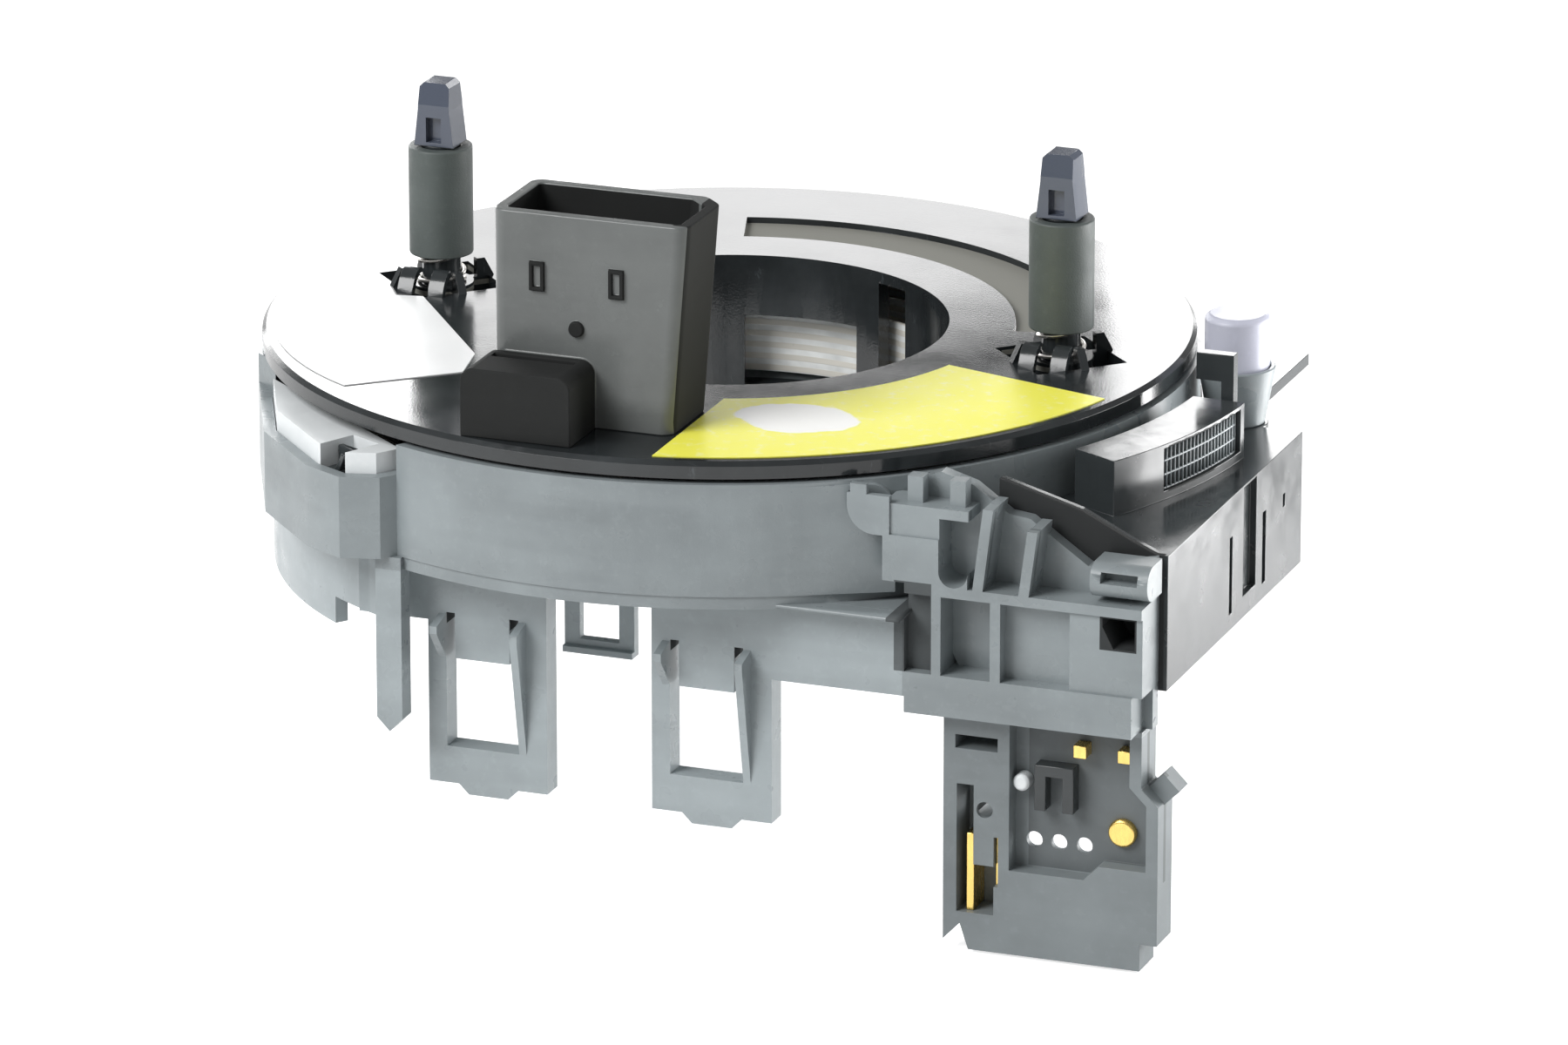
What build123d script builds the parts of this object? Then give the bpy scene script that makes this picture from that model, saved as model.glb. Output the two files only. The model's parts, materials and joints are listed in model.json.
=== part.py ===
from build123d import *
import os
from math import cos, degrees, radians, sin

os.makedirs("parts", exist_ok=True)

# Frame: origin on the rotor axis in the top face of the rotor disc, +Z towards the driver,
# +X to the right, -Y towards the front where the airbag socket stands. Millimetres.

# Clearances
running_gap = 0.5
seat_gap = 0.1
slide_gap = 0.1

# Rotor disc and its collar
disc_radius = 54.0
disc_thickness = 2.0
disc_edge_chamfer = 0.5
bore_radius = 25.4
collar_wall = 1.8
collar_depth = 7.4
groove_inner_radius = 33.0
groove_outer_radius = 41.0
groove_depth = 0.7
groove_start = 12.0
groove_sweep = 96.0

# Legs and windows below the collar, repeated in each quarter turn
quarter = 90.0
wide_leg_start = 17.0
wide_leg_sweep = 40.0
narrow_leg_start = 67.5
narrow_leg_sweep = 7.5
window_height = 9.0
leg_seat_depth = 2.6
keyway_start = 57.0
keyway_sweep = 10.5
keyway_roof = 1.4

# Rotor hub and code ring of the angle sensor
hub_flange_lip = 0.8
hub_flange_height = 2.0
hub_body_wall = 1.6
hub_height = 3.6
code_ring_radius = 38.0
code_ring_thickness = 0.8
code_band_width = 5.8
code_slot_count = 16
code_slot_share = 0.5

# Airbag socket on the disc
socket_left = -11.6
socket_right = 11.8
socket_foot_right = 9.9
socket_front = -44.2
socket_back = -31.4
socket_height = 24.4
socket_wall = 1.3
socket_corner = 1.6
socket_inner_corner = 0.6
socket_chamfer = 2.4
socket_floor = 3.0
socket_foot_depth = 5.0
socket_foot_inset = 1.6
latch_left = -12.4
latch_right = 0.8
latch_front = -52.0
latch_height = 8.0
latch_slot = 1.2
latch_slot_depth = 3.0
latch_edge_radius = 1.6
snap_mark_height = 3.4
snap_mark_width = 1.8
snap_mark_depth = 0.45
snap_mark_level = 17.1
snap_mark_places = (-6.1, 3.4)
bump_radius = 0.9
bump_place = (-1.4, 11.4)
terminal_size = 0.64
terminal_pitch = 3.0
terminal_columns = 6
terminal_rise = 8.0
terminal_row_gap = 4.6

# Lock posts with their sleeves and springs
left_post = (-37.0, 2.5)
right_post = (40.5, 0.0)
post_radius = 2.25
post_height = 16.7
tip_height = 7.6
tip_width = 4.9
tip_neck = 3.7
tip_bevel = 0.5
tip_slope = 2.6
tip_shoulder_height = 4.4
tip_depth = 4.2
tip_window_width = 1.9
tip_window_height = 3.0
tip_window_sill = 0.5
tip_window_depth = 1.1
sleeve_radius = 3.75
sleeve_bottom = 3.5
sleeve_top = 16.5
sleeve_shoulder = 12.4
spring_wire = 0.5
spring_turns = 2.5
spring_bore_gap = 0.15
opening_reach = 8.0
rib_reach = 6.4
rib_width = 1.0
claw_width = 1.9
claw_depth = 2.9
claw_height = 2.6
claw_spread = 1.9
claw_wall = 0.9
fin_rise = 2.2

# Labels
label_thickness = 0.12
label_inner_radius = 31.0
label_outer_radius = disc_radius - 1.5
label_left = 10.4
label_end_angle = -15.5
white_label_start = 188.7
white_label_end = 231.3
white_label_taper = 1.9
white_label_corners = ((-36.4, -4.7), (-22.3, -23.3), (-21.0, -30.2))

# Ribbon chamber
case_lip = 0.5
case_radius = disc_radius + case_lip
case_wall = 1.6
case_top = -disc_thickness - running_gap
seam = -15.6
pocket_top = -6.0
pocket_corners = ((206.1, 0.06), (225.0, 3.48), (238.1, 5.33), (243.6, 5.2), (247.05, 2.19), (248.2, -2.8))
pocket_wall = 1.4
pocket_floor = 1.2
band_angle = -62.0
band_length = 11.7
band_top = -2.9
band_corner = 3.0
ribbon_thickness = 0.35
ribbon_width = 8.6
ribbon_turns = 3
ribbon_inner_radius = 29.4
ribbon_margin = 2.5

# Mounting carrier
floor_thickness = 1.5
floor_radius = case_radius - 0.2
floor_bore_gap = 1.0
skirt_radius = case_radius - 1.5
skirt_wall = 1.6
back_skirt_start = 40.0
back_skirt_depth = 8.0
left_skirt_start = 195.0
left_skirt_depth = 10.4
short_skirt_depth = 7.2
short_skirt_left = -27.4
short_skirt_sweep = 12.0
skirt_end = 233.0
front_face = 8.5 - case_radius
front_wall = 1.6
front_skirt_bottom = -26.5
frame_top_overlap = 0.5
frame_wall = 3.0
frame_one_left = -19.0
frame_one_right = -4.6
frame_two_left = 8.1
frame_two_right = 22.5
frame_bottom = -43.6
frame_side_left = 2.2
frame_side_right = 3.4
frame_foot = 4.4
window_top = -28.6
slot_top = -23.2
slot_width = 1.1
tongue_drop = 1.2
tongue_share = 0.5
fin_height = 2.8
fin_wall = 0.9
pin_left = -23.2
pin_right = -20.1
pin_front = front_face - 5.2
pin_depth = 2.6
pin_length = 19.2
pin_point = 1.6

# Right arm of the carrier
arm_left = case_radius - 16.3
arm_right = case_radius + 11.5
arm_back = front_face + 6.0
arm_web = 1.8
arm_rib = 1.2
arm_bottom = -28.4
arm_middle = -13.2
lower_pocket_floor = -23.6
arm_crest = ((3.8, -10.2), (-0.7, -7.1), (-3.0, -5.5), (-5.5, -5.2), (-9.7, -2.3), (-13.5, -1.2), (-16.7, -2.6))
flange_right = case_radius + 10.4
lower_ribs = (-13.2, -6.2)
hollow_depth = 4.4
shallow_depth = 2.0
corner_cell_depth = 1.4
plate_start = 3.0
plate_depth = 0.4
boss_gap = 0.6
shelf_left = case_radius - 18.9
shelf_right = case_radius - 8.9
shelf_ledge = -7.8
shelf_top = -4.2
ledge_step = 0.3
peg_setback = 1.6
lug_left = -22.7
lug_width = 1.9
lug_low = -4.9
lug_high = -2.3
flange_left = case_radius - 23.1
flange_low = -8.0
flange_top = -3.4
flange_corner = 3.2
flange_wall = 0.8
peg_places = (-16.5, -11.5)
peg_width = 1.8
peg_height = 3.0
hollow_width = 3.4
shelf_roof = 1.2
upper_ribs = ((-8.3, -7.1, -3.6), (-2.9, -1.9, -5.6))
boss_left = case_radius + 5.4
boss_right = case_radius + 12.1
end_boss_radius = 2.0
boss_slot_roof = 0.8
hole_right = case_radius + 10.6
hole_width = 3.8
hole_height = 3.5
hole_top = -14.7
hole_key_width = 2.5
hole_key_drop = 1.0
boss_angles = (60, 130, 200, 250, 305)

# Sensor housing, board and lower cover
housing_right = case_radius + 12.5
housing_back = 8.2
housing_top = -8.6
housing_bottom = -24.4
housing_wall = 1.4
cover_thickness = 1.0
cover_outer_radius = 39.6
cover_bore_radius = bore_radius + 0.8
boss_radius = 1.8
boss_circle = cover_outer_radius + boss_radius
cover_lug_wall = 0.6
end_wall_left = case_radius - 7.3
end_wall_peak = -1.8
end_wall_crest = ((8.3, -7.4), (2.3, -4.5))
end_wall_low = -9.2
ledge_right = case_radius + 4
ledge_back = 36.9
lobe_margin = 0.4
grille_inner_radius = case_radius + 3
grille_outer_radius = case_radius + 9.3
grille_start = -27.0
grille_end = -3.0
grille_top = -2.1
grille_sill = 1.0
grille_lintel = 0.5
grille_recess = 1.2
grille_block = 7.5
grille_jamb = 1.0
bracket_front = -2.5
bracket_right = case_radius + 7.6
bracket_width = 4.5
bracket_wall = 1.5
bracket_top = 3.0
bracket_bar = 3.2
end_slots = ((-17.6, 1.0, -22.5, -13.4), (-10.9, 4.6, -21.8, -8.9), (-5.6, 1.2, -22.5, -14.0), (1.6, 0.8, -15.6, -14.1))
end_slot_depth = 0.8
inner_frame_left = -9.8
inner_frame_right = -1.2
inner_frame_front = -27.6
inner_frame_bottom = -32.8
inner_frame_side = 1.9
inner_frame_foot = 1.6
inner_frame_head = 0.6
inner_frame_wall = 1.4
board_left = 26.0
board_right = case_radius + 9.5
board_front = -24.0
board_back = 6.0
board_thickness = 1.2
board_feet = ((5.5, -20.0), (5.5, 3.0), (-8.5, 3.0))
board_foot_radius = 1.5
barrier_gap = 0.5
barrier_wall = 0.6
barrier_reach = 4.0
barrier_back = 2.0
barrier_width = 5.0
barrier_angles = (-24, -8, 8)

# Buffer on the sensor housing
buffer_angle = 9.1
buffer_gap = 0.35
buffer_radius = 3.75
buffer_top = 4.4
buffer_chamfer = 0.5
cup_top = -1.8
cup_seat_depth = 3.0
cup_foot_radius = 3.3
cup_mouth_radius = 4.5

# Terminal block
block_left = case_radius - 12.5
block_right = case_radius + 12.8
block_front = front_face + 2.6
block_depth = 5.0
block_bottom = -56.6
block_step = 2.0
shoulder_level = -37.0
left_foot_rise = 3.0
left_foot_tip = 0.9
right_foot_rise = 3.2
tab_place = (12.7, -35.5)
tab_size = 2.7
tab_depth = 3.0
foot_inset = 2.0
block_chamfer = 1.0
column_right = case_radius - 4.7
rim = 1.4
recess_roof = 0.8
recess_floor = -46.6
recess_step = 1.8
recess_step_x = case_radius + 4.1
recess_depth = 2.4
slot_rise = 1.6
column_slot_left = case_radius - 10.9
column_slot_width = 2.0
column_slot_top = -37.0
window_level = -46.4
window_low = -52.2
blade_thin = 0.4
column_hole = (-7.6, -39.8)
round_holes = ((-2.5, -43.4), (0.4, -43.4), (3.4, -43.4))
round_hole_radius = 0.95
back_bore_radius = 1.5
column_wall = 0.6
plate_wall = 0.9
blade_width = 0.9
blade_rise = 3.4
blade_inset = 0.8
contact_pin_size = 1.5
contact_pin_length = 2.0
pin_places = ((3.4, -31.7), (8.6, -31.7))
pad_place = (8.0, -41.2)
pad_radius = 1.65
pad_height = 0.8
pad_chamfer = 0.25
stud_place = (-3.6, -36.3)
stud_radius = 1.0
stud_height = 1.8
stud_chamfer = 0.3
clip_left = case_radius - 1.9
clip_right = case_radius + 2.7
clip_low = -39.2
clip_high = -33.8
clip_wall = 1.3
clip_height = 2.0

# Holder of the ribbon end and its clip
holder_angle = 240.8
holder_rise = 1.86
holder_turn = -27.9
holder_top = -3.6
notch_depth = 3.6
clip_length = 4.4
clip_reach = 6.0
clip_base = 1.4
clip_blade = 0.8
clip_rise = 3.0


def ring_sector(inner, outer, start, sweep, mode=Mode.ADD):
    """Draw a ring sector about the rotor axis in the open sketch."""
    with BuildLine() as outline:
        near = CenterArc((0, 0), inner, start, sweep)
        far = CenterArc((0, 0), outer, start, sweep)
        Line(near @ 0, far @ 0)
        Line(near @ 1, far @ 1)
    make_face(outline.edges(), mode=mode)


def rectangle(left, right, low, high, mode=Mode.ADD):
    """Draw a rectangle from its four edges in the open sketch."""
    with Locations(((left + right) / 2, (low + high) / 2)):
        Rectangle(right - left, high - low, mode=mode)


def socket_plan(right, inset, corner):
    """Draw the outline of the airbag socket, with its cut back corner, in the open sketch."""
    left = socket_left + inset
    back = socket_back - inset
    with BuildLine() as outline:
        FilletPolyline(
            (left, socket_front + inset),
            (right - inset, socket_front + inset),
            (right - inset, back - socket_chamfer),
            (right - inset - socket_chamfer, back),
            (left, back),
            radius=corner,
            close=True,
        )
    make_face(outline.edges())


def polar(radius, angle):
    """Point at a radius and an angle in degrees."""
    return (radius * cos(radians(angle)), radius * sin(radians(angle)))


def from_wall(points):
    """Points whose first coordinate is measured outwards from the ring wall along X."""
    return [(case_radius + out, level) for out, level in points]


# Levels and places shared by several pieces
pocket_outline = [polar(case_radius + rise, angle) for angle, rise in pocket_corners]
holder_place = polar(case_radius + holder_rise, holder_angle)
buffer_place = polar(case_radius + cup_mouth_radius + buffer_gap, buffer_angle)
ribbon_reach = case_radius - case_wall - ribbon_margin
ribbon_pitch = (ribbon_reach - ribbon_inner_radius) / ribbon_turns
collar_radius = bore_radius + collar_wall
hub_body_radius = collar_radius + hub_body_wall
hub_flange_radius = hub_body_radius + hub_flange_lip
hub_top = -collar_depth - window_height
hub_bottom = hub_top - hub_height
leg_end = hub_top - leg_seat_depth
code_ring_top = hub_top - hub_flange_height
floor_bottom = seam - floor_thickness
cover_top = hub_bottom - running_gap
board_top = code_ring_top - code_ring_thickness - barrier_gap - barrier_wall
board_bottom = board_top - board_thickness
leg_sectors = ((wide_leg_start, wide_leg_sweep), (narrow_leg_start, narrow_leg_sweep))
tip_shoulder = post_height + tip_shoulder_height
tip_top = post_height + tip_height
leg_play = degrees(seat_gap / bore_radius)
claw_rise = claw_height + disc_thickness
posts = (left_post, right_post)

# Rotor disc: plate, collar, legs and the two lock posts in one moulding
with BuildPart() as rotor_disc:
    with BuildSketch(Plane.XZ):
        with BuildLine():
            Polyline(
                (bore_radius, 0),
                (disc_radius, 0),
                (disc_radius, -disc_thickness),
                (collar_radius, -disc_thickness),
                (collar_radius, -collar_depth),
                (bore_radius, -collar_depth),
                close=True,
            )
        make_face()
    revolve(axis=Axis.Z)
    outer_edges = rotor_disc.edges().filter_by(GeomType.CIRCLE).sort_by(SortBy.RADIUS)[-2:]
    chamfer(outer_edges.sort_by(Axis.Z)[-1], disc_edge_chamfer)
    with BuildSketch(Plane.XY):
        ring_sector(groove_inner_radius, groove_outer_radius, groove_start, groove_sweep)
    extrude(amount=-groove_depth, mode=Mode.SUBTRACT)
    with BuildSketch(Plane.XY.offset(-collar_depth)):
        for turn in range(4):
            for start, span in leg_sectors:
                ring_sector(bore_radius, collar_radius, start + quarter * turn, span)
    extrude(amount=leg_end + collar_depth)
    with BuildSketch(Plane.XY.offset(-keyway_roof)):
        ring_sector(bore_radius - collar_wall, collar_radius + collar_wall, keyway_start, keyway_sweep)
    extrude(amount=keyway_roof - collar_depth, mode=Mode.SUBTRACT)
    # Opening under the socket foot
    with BuildSketch(Plane.XY):
        rectangle(
            socket_left + socket_foot_inset - seat_gap,
            socket_foot_right - socket_foot_inset + seat_gap,
            socket_front + socket_foot_inset - seat_gap,
            socket_back - socket_foot_inset + seat_gap,
        )
    extrude(amount=-disc_thickness, mode=Mode.SUBTRACT)
    # Diamond openings, crossed ribs, claws and posts
    for post in posts:
        with BuildSketch(Plane.XY):
            with Locations(post):
                Rectangle(opening_reach * 2**0.5, opening_reach * 2**0.5, rotation=45)
        extrude(amount=-disc_thickness, mode=Mode.SUBTRACT)
        with BuildSketch(Plane.XY.offset(-disc_thickness)):
            with Locations(post):
                Rectangle(2 * rib_reach, rib_width, rotation=45)
                Rectangle(2 * rib_reach, rib_width, rotation=-45)
                Circle(sleeve_radius)
        extrude(amount=disc_thickness)
        with BuildSketch(Plane.XY):
            with Locations(post):
                Circle(post_radius)
        extrude(amount=post_height)
        for direction in (45, 135, 225, 315):
            rib_plane = Plane(
                origin=(post[0], post[1], 0),
                x_dir=(*polar(1, direction), 0),
                z_dir=(*polar(1, direction - 90), 0),
            )
            with BuildSketch(rib_plane):
                with BuildLine():
                    Polyline(
                        (sleeve_radius + running_gap, 0),
                        (rib_reach, 0),
                        (sleeve_radius + running_gap + rib_width, fin_rise),
                        (sleeve_radius + running_gap, fin_rise),
                        close=True,
                    )
                make_face()
            extrude(amount=rib_width / 2, both=True)
        for side in (-1, 1):
            claw_x = post[0] + side * claw_spread
            claw_back = post[1] - sleeve_radius - running_gap
            with BuildSketch(Plane.YZ.offset(claw_x - claw_width / 2)):
                with BuildLine():
                    over = EllipticalCenterArc(
                        (claw_back, -disc_thickness), claw_depth, claw_rise, start_angle=90, arc_size=90
                    )
                    under = EllipticalCenterArc(
                        (claw_back, -disc_thickness),
                        claw_depth - claw_wall,
                        claw_rise - claw_wall,
                        start_angle=90,
                        arc_size=90,
                    )
                    Line(over @ 1, under @ 1)
                    Line(under @ 0, over @ 0)
                make_face()
            extrude(amount=claw_width)
        # Snap head that keeps the sleeve on the post
        head_plane = Plane.XZ.offset(-post[1] - tip_depth / 2)
        with BuildSketch(head_plane):
            with BuildLine():
                Polyline(
                    (post[0] - tip_width / 2, post_height),
                    (post[0] + tip_width / 2, post_height),
                    (post[0] + tip_width / 2 - tip_bevel, tip_shoulder),
                    (post[0] + tip_neck / 2, tip_top - tip_bevel),
                    (post[0] + tip_neck / 2 - tip_bevel, tip_top),
                    (post[0] - tip_neck / 2 + tip_bevel, tip_top),
                    (post[0] - tip_neck / 2, tip_top - tip_bevel),
                    (post[0] - tip_width / 2 + tip_bevel, tip_shoulder),
                    close=True,
                )
            make_face()
        extrude(amount=tip_depth)
        head_range = (Axis.X, post[0] - tip_width, post[0] + tip_width)
        head_face = rotor_disc.faces().group_by(Axis.Z)[-1].filter_by_position(*head_range)[0]
        head_edges = head_face.edges().filter_by(Axis.X)
        chamfer(head_edges, length=tip_bevel, length2=tip_slope, reference=head_face)
        # Recess in the front and the back of the head
        for face_plane, inwards in ((head_plane.offset(tip_depth), -1), (head_plane, 1)):
            with BuildSketch(face_plane):
                with Locations((post[0], post_height + tip_window_height / 2 + tip_window_sill)):
                    Rectangle(tip_window_width, tip_window_height)
            extrude(amount=inwards * tip_window_depth, mode=Mode.SUBTRACT)
rotor_disc.part.label = "rotor_disc"
export_step(rotor_disc.part, "parts/rotor_disc.step")

# Rotor hub: lower ring that the legs are clipped into
with BuildPart() as rotor_hub:
    with BuildSketch(Plane.XZ):
        with BuildLine():
            Polyline(
                (bore_radius, hub_top),
                (hub_flange_radius, hub_top),
                (hub_flange_radius, code_ring_top),
                (hub_body_radius, code_ring_top),
                (hub_body_radius, hub_bottom),
                (bore_radius, hub_bottom),
                close=True,
            )
        make_face()
    revolve(axis=Axis.Z)
    with BuildSketch(Plane.XY.offset(hub_top)):
        for turn in range(4):
            for start, span in leg_sectors:
                ring_sector(
                    bore_radius - collar_wall,
                    collar_radius + seat_gap,
                    start + quarter * turn - leg_play,
                    span + 2 * leg_play,
                )
    extrude(amount=-leg_seat_depth - seat_gap, mode=Mode.SUBTRACT)
rotor_hub.part.label = "rotor_hub"
export_step(rotor_hub.part, "parts/rotor_hub.step")

# Code ring: slotted ring read by the light barriers
with BuildPart() as code_ring:
    with BuildSketch(Plane.XY.offset(code_ring_top)):
        Circle(code_ring_radius)
        Circle(hub_body_radius + seat_gap, mode=Mode.SUBTRACT)
        slot_pitch = 360 / code_slot_count
        for slot in range(code_slot_count):
            ring_sector(
                hub_body_radius + code_band_width,
                code_ring_radius + code_band_width,
                slot * slot_pitch,
                slot_pitch * code_slot_share,
                mode=Mode.SUBTRACT,
            )
    extrude(amount=-code_ring_thickness)
code_ring.part.label = "code_ring"
export_step(code_ring.part, "parts/code_ring.step")

# Airbag socket: tall open shroud with the latch block in front
with BuildPart() as connector_shroud:
    with BuildSketch(Plane.XY):
        socket_plan(socket_foot_right, 0, socket_corner)
    with BuildSketch(Plane.XY.offset(socket_height)):
        socket_plan(socket_right, 0, socket_corner)
    loft()
    with BuildSketch(Plane.XY.offset(socket_floor)):
        socket_plan(socket_foot_right, socket_wall, socket_inner_corner)
    with BuildSketch(Plane.XY.offset(socket_height)):
        socket_plan(socket_right, socket_wall, socket_inner_corner)
    loft(mode=Mode.SUBTRACT)
    with BuildSketch(Plane.XY):
        rectangle(
            socket_left + socket_foot_inset,
            socket_foot_right - socket_foot_inset,
            socket_front + socket_foot_inset,
            socket_back - socket_foot_inset,
        )
    extrude(amount=-socket_foot_depth)
    # Guide ribs inside the shroud
    with BuildSketch(Plane.XY.offset(socket_floor)):
        for guide_x in (socket_left + 6 * socket_wall, socket_foot_right - 6 * socket_wall):
            rectangle(
                guide_x - socket_wall / 2,
                guide_x + socket_wall / 2,
                socket_front + socket_wall,
                socket_front + 2 * socket_wall,
            )
    extrude(amount=socket_height - socket_floor - 2 * socket_wall)
    # Latch block with the slot between it and the shroud
    with BuildSketch(Plane.XZ.offset(-socket_front)) as latch:
        rectangle(latch_left, latch_right, 0, latch_height)
        fillet(latch.vertices().group_by(Axis.Y)[-1], latch_edge_radius)
    extrude(amount=socket_front - latch_front)
    with BuildSketch(Plane.XY.offset(latch_height)):
        rectangle(
            latch_left + latch_edge_radius,
            latch_right - latch_edge_radius,
            socket_front - 2 * latch_slot,
            socket_front - latch_slot,
        )
    extrude(amount=-latch_slot_depth, mode=Mode.SUBTRACT)
    # Snap outlines and the round bump on the front face
    with BuildSketch(Plane.XZ.offset(-socket_front)):
        for place in snap_mark_places:
            with Locations((place, snap_mark_level)):
                Rectangle(snap_mark_width, snap_mark_height)
                Rectangle(
                    snap_mark_width - 2 * snap_mark_depth,
                    snap_mark_height - 2 * snap_mark_depth,
                    mode=Mode.SUBTRACT,
                )
        with Locations(bump_place):
            Circle(bump_radius)
    extrude(amount=snap_mark_depth)
    # Holes for the terminals
    socket_middle = (socket_left + socket_foot_right) / 2
    socket_depth_middle = (socket_front + socket_back) / 2
    with BuildSketch(Plane.XY.offset(socket_floor)):
        with Locations((socket_middle, socket_depth_middle)):
            with GridLocations(terminal_pitch, terminal_row_gap, terminal_columns, 2):
                Rectangle(terminal_size + seat_gap, terminal_size + seat_gap)
    extrude(amount=-socket_floor - socket_foot_depth, mode=Mode.SUBTRACT)
connector_shroud.part.label = "connector_shroud"
export_step(connector_shroud.part, "parts/connector_shroud.step")

# Terminals that stand in the socket
with BuildPart() as socket_terminals:
    with BuildSketch(Plane.XY.offset(-socket_foot_depth)):
        with Locations((socket_middle, socket_depth_middle)):
            with GridLocations(terminal_pitch, terminal_row_gap, terminal_columns, 2):
                Rectangle(terminal_size, terminal_size)
    extrude(amount=socket_foot_depth + socket_floor + terminal_rise)
socket_terminals.part.label = "socket_terminals"
export_step(socket_terminals.part, "parts/socket_terminals.step")

# Lock sleeves and the springs inside them
spring_radius = post_radius + spring_bore_gap + spring_wire / 2
sleeve_bore = spring_radius + spring_wire / 2 + spring_bore_gap
for name, post in (("left", left_post), ("right", right_post)):
    with BuildPart() as lock_sleeve:
        with BuildSketch(Plane.XY.offset(sleeve_bottom)):
            with Locations(post):
                Circle(sleeve_radius)
                Circle(sleeve_bore, mode=Mode.SUBTRACT)
        extrude(amount=sleeve_shoulder - sleeve_bottom)
        with BuildSketch(Plane.XY.offset(sleeve_shoulder)):
            with Locations(post):
                Circle(sleeve_radius)
                Circle(post_radius + slide_gap, mode=Mode.SUBTRACT)
        extrude(amount=sleeve_top - sleeve_shoulder)
    lock_sleeve.part.label = f"{name}_lock_sleeve"
    export_step(lock_sleeve.part, f"parts/{name}_lock_sleeve.step")

    spring_rise = sleeve_shoulder - spring_wire
    with BuildPart() as lock_spring:
        with BuildLine():
            coil = Helix(
                pitch=spring_rise / spring_turns,
                height=spring_rise,
                radius=spring_radius,
                center=(post[0], post[1], spring_wire / 2),
            )
        with BuildSketch(coil ^ 0):
            RegularPolygon(spring_wire / 2, 4)
        sweep(is_frenet=True)
    lock_spring.part.label = f"{name}_lock_spring"
    export_step(lock_spring.part, f"parts/{name}_lock_spring.step")

# Yellow label on the disc
with BuildPart() as yellow_label:
    with BuildSketch(Plane.XY):
        ring_sector(label_inner_radius, label_outer_radius, -90, 90 + label_end_angle)
        rectangle(-disc_radius, label_left, -disc_radius, disc_radius, mode=Mode.SUBTRACT)
    extrude(amount=label_thickness)
yellow_label.part.label = "yellow_label"
export_step(yellow_label.part, "parts/yellow_label.step")

# White label on the disc
white_label_outline = (
    polar(label_outer_radius, white_label_start),
    *white_label_corners,
    polar(label_outer_radius - white_label_taper, white_label_end),
)
with BuildPart() as white_label:
    with BuildSketch(Plane.XY):
        with BuildLine():
            Polyline(*white_label_outline)
            ThreePointArc(
                white_label_outline[-1],
                polar(label_outer_radius, (white_label_start + white_label_end) / 2),
                white_label_outline[0],
            )
        make_face()
    extrude(amount=label_thickness)
white_label.part.label = "white_label"
export_step(white_label.part, "parts/white_label.step")

# Stator case: outer wall of the ribbon chamber with the faceted pocket
with BuildPart() as stator_case:
    with BuildSketch(Plane.XY.offset(seam)):
        Circle(case_radius)
    extrude(amount=case_top - seam)
    with BuildSketch(Plane.XY.offset(seam)):
        with BuildLine():
            Polyline(*pocket_outline, close=True)
        make_face()
    extrude(amount=pocket_top - seam)
    with BuildSketch(Plane.XY.offset(pocket_top)):
        with BuildLine():
            Polyline(*pocket_outline, close=True)
        make_face()
    extrude(amount=case_top - pocket_top, mode=Mode.SUBTRACT)
    with BuildSketch(Plane.XY.offset(seam)):
        Circle(case_radius - case_wall)
    extrude(amount=case_top - seam, mode=Mode.SUBTRACT)
    # Straight end of the wall, tangent to the ring, that runs to the arm
    tangent_plane = Plane(
        origin=(*polar(case_radius, band_angle), seam),
        x_dir=(*polar(1, band_angle + 90), 0),
        z_dir=(*polar(1, band_angle), 0),
    )
    with BuildSketch(tangent_plane) as band:
        rectangle(0, band_length, 0, band_top - seam)
        fillet(band.vertices().group_by(Axis.Y)[-1].sort_by(Axis.X)[-1], band_corner)
    extrude(amount=-case_wall)
    with BuildSketch(Plane.XY.offset(seam + pocket_floor)):
        with BuildLine():
            Polyline(*pocket_outline, close=True)
        make_face()
        offset(amount=-pocket_wall, mode=Mode.REPLACE, kind=Kind.INTERSECTION)
    extrude(amount=case_top - seam, mode=Mode.SUBTRACT)
stator_case.part.label = "stator_case"
export_step(stator_case.part, "parts/stator_case.step")

# Ribbon: flat spiral of half circles
ribbon_bottom = seam + seat_gap
with BuildPart() as ribbon_cable:
    with BuildSketch(Plane.XY.offset(ribbon_bottom)):
        for half in range(2 * ribbon_turns):
            middle = ribbon_inner_radius + half * ribbon_pitch / 2
            shift = ribbon_pitch / 4 if half % 2 else -ribbon_pitch / 4
            with BuildLine():
                near = CenterArc((shift, 0), middle - ribbon_thickness / 2, 180 * half, 180)
                far = CenterArc((shift, 0), middle + ribbon_thickness / 2, 180 * half, 180)
                Line(near @ 0, far @ 0)
                Line(near @ 1, far @ 1)
            make_face()
    extrude(amount=ribbon_width)
ribbon_cable.part.label = "ribbon_cable"
export_step(ribbon_cable.part, "parts/ribbon_cable.step")

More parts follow.
